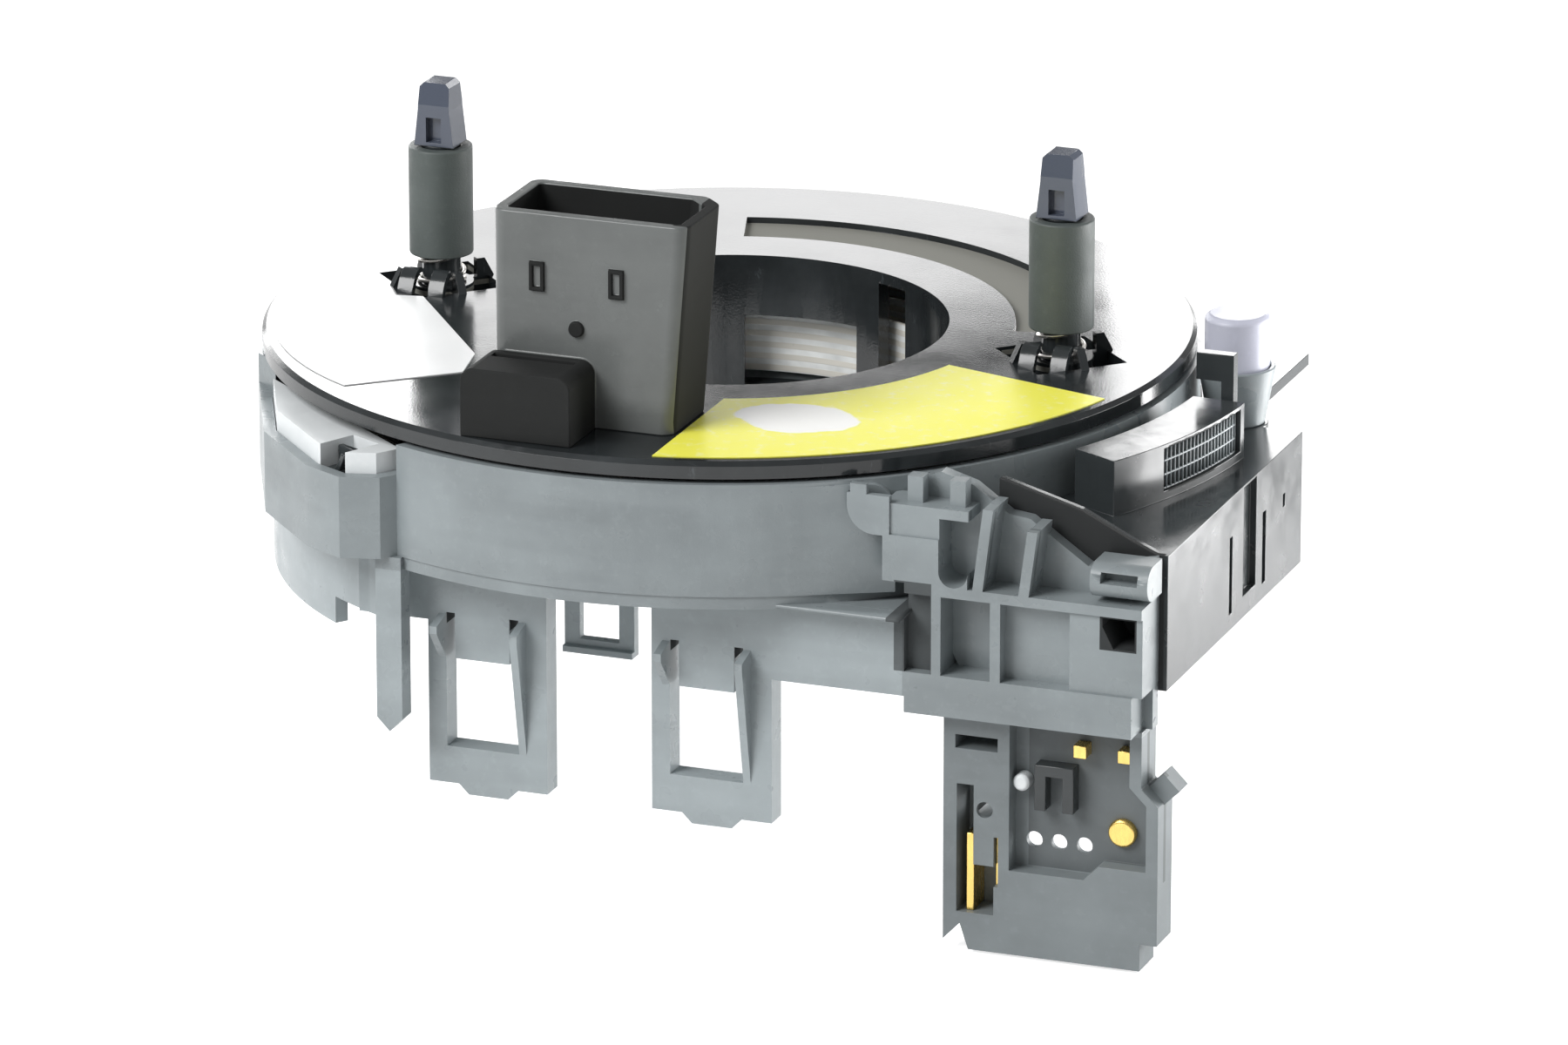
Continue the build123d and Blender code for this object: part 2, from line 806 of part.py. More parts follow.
# Mounting carrier: floor, skirts, snap frames, locating pin and right arm
frames = ((frame_one_left, frame_one_right), (frame_two_left, frame_two_right))
with BuildPart() as mounting_carrier:
    with BuildSketch(Plane.XY.offset(floor_bottom)):
        Circle(floor_radius)
        Circle(hub_flange_radius + floor_bore_gap, mode=Mode.SUBTRACT)
    extrude(amount=floor_thickness)
    # Skirt round the left and the back
    with BuildSketch(Plane.XY.offset(floor_bottom)):
        ring_sector(skirt_radius - skirt_wall, skirt_radius, back_skirt_start, skirt_end - back_skirt_start)
    extrude(amount=-back_skirt_depth)
    with BuildSketch(Plane.XY.offset(floor_bottom)):
        ring_sector(skirt_radius - skirt_wall, skirt_radius, left_skirt_start, skirt_end - left_skirt_start)
    extrude(amount=-left_skirt_depth)
    # Short skirt that runs on to the first snap frame
    with BuildSketch(Plane.XY.offset(floor_bottom)):
        ring_sector(skirt_radius - skirt_wall, skirt_radius, skirt_end - frame_wall, short_skirt_sweep)
        rectangle(short_skirt_left, frame_one_left + front_wall, front_face, front_face + front_wall)
    extrude(amount=-short_skirt_depth)
    # Snap frames below the floor
    for left, right in frames:
        with BuildSketch(Plane.XZ.offset(-front_face)):
            rectangle(left, right, frame_bottom, floor_bottom + frame_top_overlap)
            rectangle(
                left + frame_side_left,
                right - frame_side_right,
                frame_bottom + frame_foot,
                window_top,
                mode=Mode.SUBTRACT,
            )
            for slot_x in (left + frame_side_left, right - frame_side_right - slot_width):
                rectangle(slot_x, slot_x + slot_width, window_top, slot_top, mode=Mode.SUBTRACT)
            middle = (left + right) / 2
            half_tongue = (right - left) * tongue_share / 2
            with BuildLine():
                Polyline(
                    (middle - half_tongue, frame_bottom),
                    (middle - half_tongue + tongue_drop, frame_bottom - tongue_drop),
                    (middle + half_tongue - tongue_drop, frame_bottom - tongue_drop),
                    (middle + half_tongue, frame_bottom),
                    close=True,
                )
            make_face()
        extrude(amount=-frame_wall)
        for fin_x, fin_end in (
            (left + frame_side_left - fin_wall, window_top),
            (right - frame_side_right, frame_bottom + frame_foot),
        ):
            with BuildSketch(Plane.YZ.offset(fin_x)):
                with BuildLine():
                    Polyline(
                        (front_face + fin_wall, slot_top),
                        (front_face - fin_height, slot_top - fin_wall),
                        (front_face - fin_height, slot_top - 2 * fin_wall),
                        (front_face, fin_end),
                        (front_face + fin_wall, fin_end),
                        close=True,
                    )
                make_face()
            extrude(amount=fin_wall)
    # Locating pin with its pointed end
    with BuildSketch(Plane.XZ.offset(-pin_front)):
        with BuildLine():
            Polyline(
                (pin_left, seam),
                (pin_right, seam),
                (pin_right, seam - pin_length),
                ((pin_left + pin_right) / 2, seam - pin_length - pin_point),
                (pin_left, seam - pin_length),
                close=True,
            )
        make_face()
    extrude(amount=-pin_depth)
    # Front skirt from the second frame to the arm
    with BuildSketch(Plane.XZ.offset(-front_face)):
        rectangle(frame_two_right, arm_left, front_skirt_bottom, floor_bottom + frame_top_overlap)
    extrude(amount=-front_wall)
    # Arm: slanted web at the back, box sections, flange and ribs at the front
    with BuildSketch(Plane.XZ.offset(arm_web - arm_back)):
        with BuildLine():
            Polyline(
                (shelf_right, arm_bottom),
                (arm_right, arm_bottom),
                (arm_right, arm_middle + boss_gap + 2 * end_boss_radius),
                *from_wall(arm_crest),
                (case_radius + arm_crest[-1][0], arm_middle),
                close=True,
            )
        make_face()
    extrude(amount=-arm_web)
    with BuildSketch(Plane.XZ.offset(-front_face)):
        rectangle(arm_left, flange_right, arm_bottom, lower_pocket_floor)
        rectangle(arm_left, arm_right, arm_middle - arm_rib, arm_middle)
        for rib_out in lower_ribs:
            rectangle(
                case_radius + rib_out,
                case_radius + rib_out + arm_rib,
                lower_pocket_floor,
                arm_middle,
            )
    extrude(amount=front_face - arm_back + arm_web / 2)
    # Shallow floors of the cells, and the flush plate at the end of the arm
    for cell_left, cell_right, cell_depth in (
        (arm_left, case_radius + lower_ribs[0], corner_cell_depth),
        (case_radius + lower_ribs[1], arm_right, shallow_depth),
        (case_radius + plate_start, arm_right, plate_depth),
    ):
        with BuildSketch(Plane.XZ.offset(-front_face - cell_depth)):
            rectangle(cell_left, cell_right, lower_pocket_floor, arm_middle)
        extrude(amount=front_face + cell_depth - arm_back)
    # Shelf box with its ledge and two pegs
    with BuildSketch(Plane.YZ.offset(shelf_left)):
        with BuildLine():
            Polyline(
                (arm_back - arm_web / 2, arm_middle),
                (front_face, arm_middle),
                (front_face, shelf_ledge),
                (front_face + ledge_step, shelf_ledge),
                (front_face + ledge_step, shelf_top),
                (arm_back - arm_web / 2, shelf_top),
                close=True,
            )
        make_face()
    extrude(amount=shelf_right - shelf_left)
    with BuildSketch(Plane.XY.offset(shelf_top)):
        for peg_out in peg_places:
            rectangle(
                case_radius + peg_out,
                case_radius + peg_out + peg_width,
                front_face + peg_setback,
                front_face + peg_setback + peg_width,
            )
    extrude(amount=peg_height)
    # Flange that laps over the end of the ring wall
    with BuildSketch(Plane.XZ.offset(-front_face)) as flange:
        rectangle(flange_left, shelf_left + flange_wall, flange_low, flange_top)
        fillet(flange.vertices().group_by(Axis.Y)[0].sort_by(Axis.X)[0], flange_corner)
    extrude(amount=-flange_wall)
    # Small lug on the flange
    with BuildSketch(Plane.XZ.offset(-front_face)):
        rectangle(case_radius + lug_left, case_radius + lug_left + lug_width, lug_low, lug_high)
    extrude(amount=-flange_wall)
    # Round-bottomed hollow at the right end of the shelf
    with BuildSketch(Plane.XZ.offset(-front_face)):
        rectangle(
            shelf_right - hollow_width,
            shelf_right,
            arm_middle + hollow_width / 2,
            shelf_top - shelf_roof,
        )
        with Locations((shelf_right - hollow_width / 2, arm_middle + hollow_width / 2)):
            Circle(hollow_width / 2)
    extrude(amount=-hollow_depth, mode=Mode.SUBTRACT)
    # Tilted ribs of the upper half
    for foot, head, rise in upper_ribs:
        with BuildSketch(Plane.XZ.offset(-front_face)):
            with BuildLine():
                Polyline(
                    (case_radius + foot, arm_middle),
                    (case_radius + foot + arm_rib, arm_middle),
                    (case_radius + head + arm_rib, rise),
                    (case_radius + head, rise),
                    close=True,
                )
            make_face()
        extrude(amount=front_face - arm_back + arm_web / 2)
    # Rounded boss with its slot at the end of the arm
    with BuildSketch(Plane.YZ.offset(boss_left)):
        with Locations((front_face + end_boss_radius, arm_middle + boss_gap + end_boss_radius)):
            Circle(end_boss_radius)
        rectangle(
            front_face + end_boss_radius,
            arm_back - arm_web / 2,
            arm_middle + boss_gap,
            arm_middle + boss_gap + 2 * end_boss_radius,
        )
    extrude(amount=boss_right - boss_left)
    with BuildSketch(Plane.XZ.offset(-front_face)):
        rectangle(
            boss_left + arm_rib,
            boss_right - arm_rib,
            arm_middle + boss_gap + end_boss_radius,
            arm_middle + boss_gap + 2 * end_boss_radius - boss_slot_roof,
        )
    extrude(amount=-end_boss_radius, mode=Mode.SUBTRACT)
    # Keyed hole near the end of the arm
    with BuildSketch(Plane.XZ.offset(-arm_back)):
        with BuildLine():
            Polyline(
                (hole_right - hole_width, hole_top),
                (hole_right, hole_top),
                (hole_right, hole_top - hole_height),
                (hole_right - hole_key_width, hole_top - hole_height),
                (hole_right - hole_width, hole_top - hole_key_drop),
                close=True,
            )
        make_face()
    extrude(amount=arm_back - front_face, mode=Mode.SUBTRACT)
    # Room for the ring wall of the case above the floor
    with BuildSketch(Plane.XY.offset(seam)):
        Circle(case_radius + seat_gap)
    extrude(amount=-seam, mode=Mode.SUBTRACT)
    # Bosses that carry the lower cover
    with BuildSketch(Plane.XY.offset(floor_bottom)):
        for angle in boss_angles:
            with Locations(polar(boss_circle, angle)):
                Circle(boss_radius)
    extrude(amount=cover_top - floor_bottom)
mounting_carrier.part.label = "mounting_carrier"
export_step(mounting_carrier.part, "parts/mounting_carrier.step")

# Sensor housing: open-bottomed box with its raised end wall and grille wall
housing_inner_radius = case_radius + seat_gap
with BuildPart() as sensor_housing:
    with BuildSketch(Plane.XY.offset(housing_bottom)):
        rectangle(0, housing_right, arm_back, housing_back)
    extrude(amount=housing_top - housing_bottom)
    with BuildSketch(Plane.XY.offset(housing_bottom)):
        rectangle(0, housing_right - housing_wall, arm_back + housing_wall, housing_back - housing_wall)
    extrude(amount=housing_top - housing_wall - housing_bottom, mode=Mode.SUBTRACT)
    # Raised end wall behind the arm
    with BuildSketch(Plane.XZ.offset(-arm_back)):
        with BuildLine():
            Polyline(
                (end_wall_left, housing_top - housing_wall),
                (housing_right, housing_top - housing_wall),
                (housing_right, end_wall_low),
                *from_wall(end_wall_crest),
                (end_wall_left, end_wall_peak),
                close=True,
            )
        make_face()
    extrude(amount=-housing_wall)
    # Curved grille wall on the top
    with BuildSketch(Plane.XY.offset(housing_top)):
        ring_sector(grille_inner_radius, grille_outer_radius, grille_start, grille_end - grille_start)
    extrude(amount=grille_top - housing_top)
    with BuildSketch(Plane.XY.offset(housing_top + grille_sill)):
        ring_sector(
            grille_outer_radius - grille_recess,
            grille_outer_radius + grille_recess,
            grille_start + grille_block,
            grille_end - grille_start - grille_block - grille_jamb,
        )
    extrude(amount=grille_top - housing_top - grille_sill - grille_lintel, mode=Mode.SUBTRACT)
    # Bracket post beside the grille wall
    with BuildSketch(Plane.XZ.offset(-bracket_front)):
        rectangle(bracket_right - bracket_width, bracket_right, housing_top, bracket_top)
        rectangle(
            bracket_right - bracket_width,
            bracket_right - bracket_wall,
            housing_top,
            bracket_top - bracket_bar,
            mode=Mode.SUBTRACT,
        )
    extrude(amount=-bracket_wall)
    # Ledge behind the housing, with a lobe that carries the buffer cup
    with BuildSketch(Plane.XY.offset(housing_top)):
        rectangle(0, ledge_right, housing_back - housing_wall, ledge_back)
        with Locations(buffer_place):
            Circle(cup_foot_radius + lobe_margin)
    extrude(amount=-housing_wall)
    # Slots in the end face
    with BuildSketch(Plane.YZ.offset(housing_right - end_slot_depth)):
        for slot_y, width, low, high in end_slots:
            rectangle(slot_y - width / 2, slot_y + width / 2, low, high)
    extrude(amount=end_slot_depth, mode=Mode.SUBTRACT)
    # Room for the ring wall and for the board below it
    with BuildSketch(Plane.XY.offset(housing_bottom)):
        Circle(housing_inner_radius)
    extrude(amount=bracket_top - housing_bottom, mode=Mode.SUBTRACT)
sensor_housing.part.label = "sensor_housing"
export_step(sensor_housing.part, "parts/sensor_housing.step")

# Lower cover below the code ring, with the small snap frame
cover_bottom = cover_top - cover_thickness
with BuildPart() as lower_cover:
    with BuildSketch(Plane.XY.offset(cover_top)):
        Circle(cover_outer_radius)
        for angle in boss_angles:
            with Locations(polar(boss_circle, angle)):
                Circle(boss_radius + cover_lug_wall)
        Circle(cover_bore_radius, mode=Mode.SUBTRACT)
        rectangle(board_left - running_gap, housing_right, arm_back, housing_back, mode=Mode.SUBTRACT)
    extrude(amount=-cover_thickness)
    with BuildSketch(Plane.XZ.offset(-inner_frame_front)):
        rectangle(inner_frame_left, inner_frame_right, inner_frame_bottom, cover_bottom)
        rectangle(
            inner_frame_left + inner_frame_side,
            inner_frame_right - inner_frame_side,
            inner_frame_bottom + inner_frame_foot,
            cover_bottom - inner_frame_head,
            mode=Mode.SUBTRACT,
        )
    extrude(amount=-inner_frame_wall)
    with BuildSketch(Plane.XZ.offset(-inner_frame_front)):
        rectangle(
            inner_frame_left,
            inner_frame_right,
            inner_frame_bottom,
            inner_frame_bottom + inner_frame_foot / 2,
        )
    extrude(amount=inner_frame_wall / 2)
lower_cover.part.label = "lower_cover"
export_step(lower_cover.part, "parts/lower_cover.step")

# Housing cover: plate that closes the sensor housing from below
with BuildPart() as housing_cover:
    with BuildSketch(Plane.XY.offset(housing_bottom)):
        rectangle(
            board_left,
            housing_right - housing_wall - seat_gap,
            arm_back + housing_wall + seat_gap,
            housing_back - housing_wall - seat_gap,
        )
    extrude(amount=housing_wall)
    # Posts that carry the board
    with BuildSketch(Plane.XY.offset(housing_bottom + housing_wall)):
        with Locations(*from_wall(board_feet)):
            Circle(board_foot_radius)
    extrude(amount=board_bottom - housing_bottom - housing_wall)
housing_cover.part.label = "housing_cover"
export_step(housing_cover.part, "parts/housing_cover.step")

# Circuit board of the angle sensor on the posts of the housing cover
with BuildPart() as circuit_board:
    with BuildSketch(Plane.XY.offset(board_top)):
        rectangle(board_left, board_right, board_front, board_back)
        Circle(hub_flange_radius + running_gap, mode=Mode.SUBTRACT)
    extrude(amount=-board_thickness)
circuit_board.part.label = "circuit_board"
export_step(circuit_board.part, "parts/circuit_board.step")

# Light barriers: forks on the board that straddle the code ring
barrier_top = code_ring_top + barrier_gap + barrier_wall
with BuildPart() as light_barriers:
    for angle in barrier_angles:
        barrier_plane = Plane(
            origin=(*polar(code_ring_radius - barrier_reach, angle), board_top),
            x_dir=(*polar(1, angle), 0),
            z_dir=(*polar(1, angle + 90), 0),
        )
        with BuildSketch(barrier_plane):
            rectangle(0, barrier_reach + barrier_gap + barrier_back, board_top - barrier_top, 0)
            rectangle(
                0,
                barrier_reach + barrier_gap,
                board_top - code_ring_top - barrier_gap,
                -barrier_wall,
                mode=Mode.SUBTRACT,
            )
        extrude(amount=barrier_width / 2, both=True)
light_barriers.part.label = "light_barriers"
export_step(light_barriers.part, "parts/light_barriers.step")

# Buffer cup and buffer on the sensor housing
with BuildPart() as buffer_cup:
    with BuildSketch(Plane.XZ):
        with BuildLine():
            Polyline(
                (0, housing_top),
                (cup_foot_radius, housing_top),
                (cup_mouth_radius, cup_top),
                (buffer_radius + seat_gap, cup_top),
                (buffer_radius + seat_gap, cup_top - cup_seat_depth),
                (0, cup_top - cup_seat_depth),
                close=True,
            )
        make_face()
    revolve(axis=Axis.Z)
buffer_cup.part = buffer_cup.part.moved(Location((*buffer_place, 0)))
buffer_cup.part.label = "buffer_cup"
export_step(buffer_cup.part, "parts/buffer_cup.step")

with BuildPart() as stop_buffer:
    with BuildSketch(Plane.XY.offset(cup_top - cup_seat_depth)):
        with Locations(buffer_place):
            Circle(buffer_radius)
    extrude(amount=buffer_top - cup_top + cup_seat_depth)
    chamfer(stop_buffer.edges().group_by(Axis.Z)[-1], buffer_chamfer)
stop_buffer.part.label = "stop_buffer"
export_step(stop_buffer.part, "parts/stop_buffer.step")

# Terminal block below the arm
with BuildPart() as terminal_block:
    with BuildSketch(Plane.XZ.offset(-block_front)):
        with BuildLine():
            Polyline(
                (block_left, arm_bottom),
                (block_right - block_step, arm_bottom),
                (block_right - block_step, shoulder_level + block_step),
                (block_right, shoulder_level),
                (block_right, block_bottom + right_foot_rise),
                (block_right - foot_inset, block_bottom + right_foot_rise),
                (block_right - foot_inset, block_bottom),
                (block_left + foot_inset + block_chamfer, block_bottom),
                (block_left + foot_inset, block_bottom + left_foot_rise),
                (block_left, block_bottom + left_foot_tip),
                close=True,
            )
        make_face()
    extrude(amount=-block_depth)
    # Tilted tab on the shoulder
    with BuildSketch(Plane.XZ.offset(-block_front - block_depth)):
        with Locations(*from_wall([tab_place])):
            Rectangle(tab_size, tab_size, rotation=45)
    extrude(amount=tab_depth)
    # Recess with its stepped floor
    with BuildSketch(Plane.XZ.offset(-block_front)):
        with BuildLine():
            Polyline(
                (column_right, arm_bottom - recess_roof),
                (block_right - block_step - rim, arm_bottom - recess_roof),
                (block_right - block_step - rim, shoulder_level + block_step),
                (block_right - rim, shoulder_level),
                (block_right - rim, recess_floor + recess_step),
                (recess_step_x + recess_step, recess_floor + recess_step),
                (recess_step_x, recess_floor),
                (column_right, recess_floor),
                close=True,
            )
        make_face()
    extrude(amount=-recess_depth, mode=Mode.SUBTRACT)
    # Windows of the left column, closed at the back
    with BuildSketch(Plane.XZ.offset(-block_front)):
        rectangle(block_left + rim, column_right - rim, arm_bottom - 2 * rim - slot_rise, arm_bottom - 2 * rim)
        rectangle(column_slot_left, column_slot_left + column_slot_width, window_level, column_slot_top)
        rectangle(column_slot_left, column_right - rim - blade_thin, window_low, window_level)
        rectangle(
            column_right - rim - blade_thin,
            column_right - rim + seat_gap,
            window_low + blade_rise,
            window_level + blade_rise + seat_gap,
        )
    extrude(amount=column_wall - block_depth, mode=Mode.SUBTRACT)
    # Round holes, opened out from the back so that thin walls stay round them
    with BuildSketch(Plane.XZ.offset(-block_front)):
        with Locations(*from_wall([column_hole, *round_holes])):
            Circle(round_hole_radius)
    extrude(amount=-block_depth, mode=Mode.SUBTRACT)
    with BuildSketch(Plane.XZ.offset(-block_front - column_wall)):
        with Locations(*from_wall([column_hole])):
            Circle(back_bore_radius)
    extrude(amount=column_wall - block_depth, mode=Mode.SUBTRACT)
    with BuildSketch(Plane.XZ.offset(-block_front - recess_depth - plate_wall)):
        rectangle(column_right, block_right - block_step - rim, recess_floor, shoulder_level + block_step)
    extrude(amount=recess_depth + plate_wall - block_depth, mode=Mode.SUBTRACT)
terminal_block.part.label = "terminal_block"
export_step(terminal_block.part, "parts/terminal_block.step")

# Gold blades in the left column of the block
with BuildPart() as contact_blades:
    blade_back = block_front + block_depth - column_wall
    with BuildSketch(Plane.XZ.offset(-blade_back)):
        rectangle(
            column_slot_left + blade_width,
            column_slot_left + 2 * blade_width,
            window_low,
            window_level + blade_rise,
        )
        rectangle(
            column_right - rim - blade_thin,
            column_right - rim,
            window_low + blade_rise,
            window_level + blade_rise,
        )
    extrude(amount=block_depth - column_wall - blade_inset)
contact_blades.part.label = "contact_blades"
export_step(contact_blades.part, "parts/contact_blades.step")

# Gold pins, pad, stud and clip in the recess
recess_face = block_front + recess_depth
with BuildPart() as contact_pins:
    with BuildSketch(Plane.XZ.offset(-recess_face)):
        with Locations(*from_wall(pin_places)):
            Rectangle(contact_pin_size, contact_pin_size)
    extrude(amount=contact_pin_length)
contact_pins.part.label = "contact_pins"
export_step(contact_pins.part, "parts/contact_pins.step")

with BuildPart() as contact_pad:
    with BuildSketch(Plane.XZ.offset(-recess_face)):
        with Locations(*from_wall([pad_place])):
            Circle(pad_radius)
    extrude(amount=pad_height)
    chamfer(contact_pad.edges().group_by(Axis.Y)[0], pad_chamfer)
contact_pad.part.label = "contact_pad"
export_step(contact_pad.part, "parts/contact_pad.step")

with BuildPart() as block_stud:
    with BuildSketch(Plane.XZ.offset(-recess_face)):
        with Locations(*from_wall([stud_place])):
            Circle(stud_radius)
    extrude(amount=stud_height)
    chamfer(block_stud.edges().group_by(Axis.Y)[0], stud_chamfer)
block_stud.part.label = "block_stud"
export_step(block_stud.part, "parts/block_stud.step")

with BuildPart() as block_clip:
    with BuildSketch(Plane.XZ.offset(-recess_face)):
        rectangle(clip_left, clip_right, clip_low, clip_high)
        rectangle(clip_left + clip_wall, clip_right - clip_wall, clip_low, clip_high - clip_wall, mode=Mode.SUBTRACT)
    extrude(amount=clip_height)
block_clip.part.label = "block_clip"
export_step(block_clip.part, "parts/block_clip.step")

# Holder of the outer ribbon end, in the pocket of the case
holder_floor = seam + pocket_floor
with BuildPart() as ribbon_end_holder:
    with BuildSketch(Plane.XY.offset(holder_floor)):
        with BuildLine():
            Polyline(*pocket_outline, close=True)
        make_face()
        offset(amount=-pocket_wall - seat_gap, mode=Mode.REPLACE, kind=Kind.INTERSECTION)
        Circle(ribbon_reach, mode=Mode.SUBTRACT)
    extrude(amount=holder_top - holder_floor)
    # Notch for the clip
    with BuildSketch(Plane.XY.offset(holder_top)):
        with Locations(holder_place):
            Rectangle(clip_length, clip_reach, rotation=holder_turn)
    extrude(amount=-notch_depth, mode=Mode.SUBTRACT)
ribbon_end_holder.part.label = "ribbon_end_holder"
export_step(ribbon_end_holder.part, "parts/ribbon_end_holder.step")

# Clip that holds the ribbon end: floor, back wall and slanted blade
notch_floor = holder_top - notch_depth
clip_half = clip_length / 2 - seat_gap
clip_plane = Plane(
    origin=(*holder_place, notch_floor),
    x_dir=(*polar(1, holder_turn), 0),
    z_dir=(*polar(1, holder_turn - 90), 0),
)
with BuildPart() as holder_clip:
    with BuildSketch(clip_plane):
        rectangle(-clip_half, clip_half, 0, clip_blade)
    extrude(amount=clip_base, both=True)
    with BuildSketch(clip_plane.offset(-clip_base)):
        rectangle(-clip_half, clip_half, 0, clip_rise)
    extrude(amount=clip_blade)
    with BuildSketch(clip_plane):
        with BuildLine():
            Polyline(
                (-clip_blade, 0),
                (0, 0),
                (2 * clip_blade, clip_rise),
                (clip_blade, clip_rise),
                close=True,
            )
        make_face()
    extrude(amount=clip_base, both=True)
holder_clip.part.label = "holder_clip"
export_step(holder_clip.part, "parts/holder_clip.step")
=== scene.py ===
"""Visual model of a steering clock spring, laid out as an add-on and run as a script."""

import json
import math

import bmesh
import bpy
import numpy as np
from bpy.props import FloatProperty, FloatVectorProperty, IntProperty, PointerProperty
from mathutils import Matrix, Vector


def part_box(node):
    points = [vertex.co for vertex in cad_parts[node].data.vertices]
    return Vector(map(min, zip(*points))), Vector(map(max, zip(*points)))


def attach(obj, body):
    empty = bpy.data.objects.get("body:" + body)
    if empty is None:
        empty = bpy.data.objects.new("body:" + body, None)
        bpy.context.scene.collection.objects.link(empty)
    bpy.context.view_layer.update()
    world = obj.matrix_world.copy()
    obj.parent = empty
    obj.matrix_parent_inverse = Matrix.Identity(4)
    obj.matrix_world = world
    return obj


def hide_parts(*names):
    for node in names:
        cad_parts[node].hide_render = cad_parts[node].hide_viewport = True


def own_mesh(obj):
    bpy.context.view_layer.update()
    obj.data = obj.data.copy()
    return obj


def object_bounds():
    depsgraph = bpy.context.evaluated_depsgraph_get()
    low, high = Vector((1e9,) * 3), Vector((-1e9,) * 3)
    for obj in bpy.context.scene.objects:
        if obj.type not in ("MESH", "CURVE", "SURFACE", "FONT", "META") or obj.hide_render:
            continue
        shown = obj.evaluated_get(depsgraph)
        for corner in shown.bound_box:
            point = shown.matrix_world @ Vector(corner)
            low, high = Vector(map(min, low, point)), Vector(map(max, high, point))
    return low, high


bl_info = {
    "name": "Steering clock spring",
    "version": (1, 0, 0),
    "blender": (4, 5, 0),
    "location": "View3D > Sidebar > Clock spring",
    "description": "Builds the visible pieces and finishes of a steering clock spring round its frame",
    "category": "Object",
}

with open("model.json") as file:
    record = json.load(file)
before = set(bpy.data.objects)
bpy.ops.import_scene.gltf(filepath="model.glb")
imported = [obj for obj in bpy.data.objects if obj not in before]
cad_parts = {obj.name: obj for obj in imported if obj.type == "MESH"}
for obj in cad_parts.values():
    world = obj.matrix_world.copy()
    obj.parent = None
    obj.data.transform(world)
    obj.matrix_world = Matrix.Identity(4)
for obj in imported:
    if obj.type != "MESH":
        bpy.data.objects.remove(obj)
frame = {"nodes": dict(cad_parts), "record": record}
cad_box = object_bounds()

BEHAVIOUR = frame["record"]["behaviour"]
SLOT_OF = {row["node"]: row["material_slot"] for row in frame["record"]["subparts"]}
BODY_OF = {node: body for body, nodes in BEHAVIOUR["bodies"].items() for node in nodes}

MM = 0.001
TAU = 2 * math.pi
ROTOR_AXIS = (0.0, 0.0)
SMOOTH_ANGLE = math.radians(26)
ROUNDED_ANGLE = math.radians(34)
FLAT_ANGLE = math.radians(0.15)
LONGEST_CHORD = math.radians(24)
WELD = 1e-6
SAME_RADIUS = 3e-7
SMALLEST_RADIUS = 1e-4
MOST_HALVINGS = 5
STEEP = 0.9


# Property groups


def colour(name, description, value):
    """A colour property with its default."""
    return FloatVectorProperty(
        name=name, description=description, default=value, size=3, min=0, max=1, subtype="COLOR"
    )


def length(name, description, value):
    """A length property with its default in metres."""
    return FloatProperty(
        name=name, description=description, default=value, min=0, unit="LENGTH", subtype="DISTANCE", precision=5
    )


def angle(name, description, degrees, least=-180.0):
    """An angle property with its default and its least value in degrees."""
    return FloatProperty(
        name=name, description=description, default=math.radians(degrees), min=math.radians(least),
        subtype="ANGLE", unit="ROTATION",
    )


def watts(name, description, value):
    """A lamp power property with its default in watts."""
    return FloatProperty(name=name, description=description, default=value, min=0, unit="POWER")


class ClockSpringColours(bpy.types.PropertyGroup):
    """Colours of the finishes"""

    gray_plastic: colour("Gray plastic", "Satin plastic of the case and the carrier", (0.222, 0.250, 0.260))
    gloss_black: colour("Gloss black plastic", "Polished plastic of the rotor disc", (0.012, 0.014, 0.015))
    charcoal_plastic: colour("Charcoal plastic", "Satin plastic of the airbag socket", (0.125, 0.133, 0.131))
    dark_plastic: colour(
        "Dark plastic", "Plastic of the code ring, sensor housing and small clips", (0.030, 0.035, 0.037)
    )
    sleeve_plastic: colour("Sleeve plastic", "Matte plastic of the two lock sleeves", (0.070, 0.084, 0.080))
    spring_steel: colour("Spring steel", "Wire of the lock springs", (0.62, 0.60, 0.57))
    yellow_film: colour("Yellow film", "Bare label on the right of the disc", (0.93, 0.90, 0.10))
    white_film: colour("White film", "Bare label on the left of the disc", (0.86, 0.88, 0.87))
    ribbon_film: colour("Ribbon film", "Film of the flat ribbon", (0.78, 0.80, 0.79))
    board_laminate: colour("Board laminate", "Circuit board of the angle sensor", (0.02, 0.11, 0.06))
    buffer_plastic: colour("Buffer plastic", "Pale lilac buffer", (0.50, 0.51, 0.60))
    gold_contact: colour("Gold contact", "Plated contacts of the terminal block", (0.90, 0.64, 0.20))
    pale_plastic: colour("Pale plastic", "White holder of the ribbon end", (0.74, 0.77, 0.78))


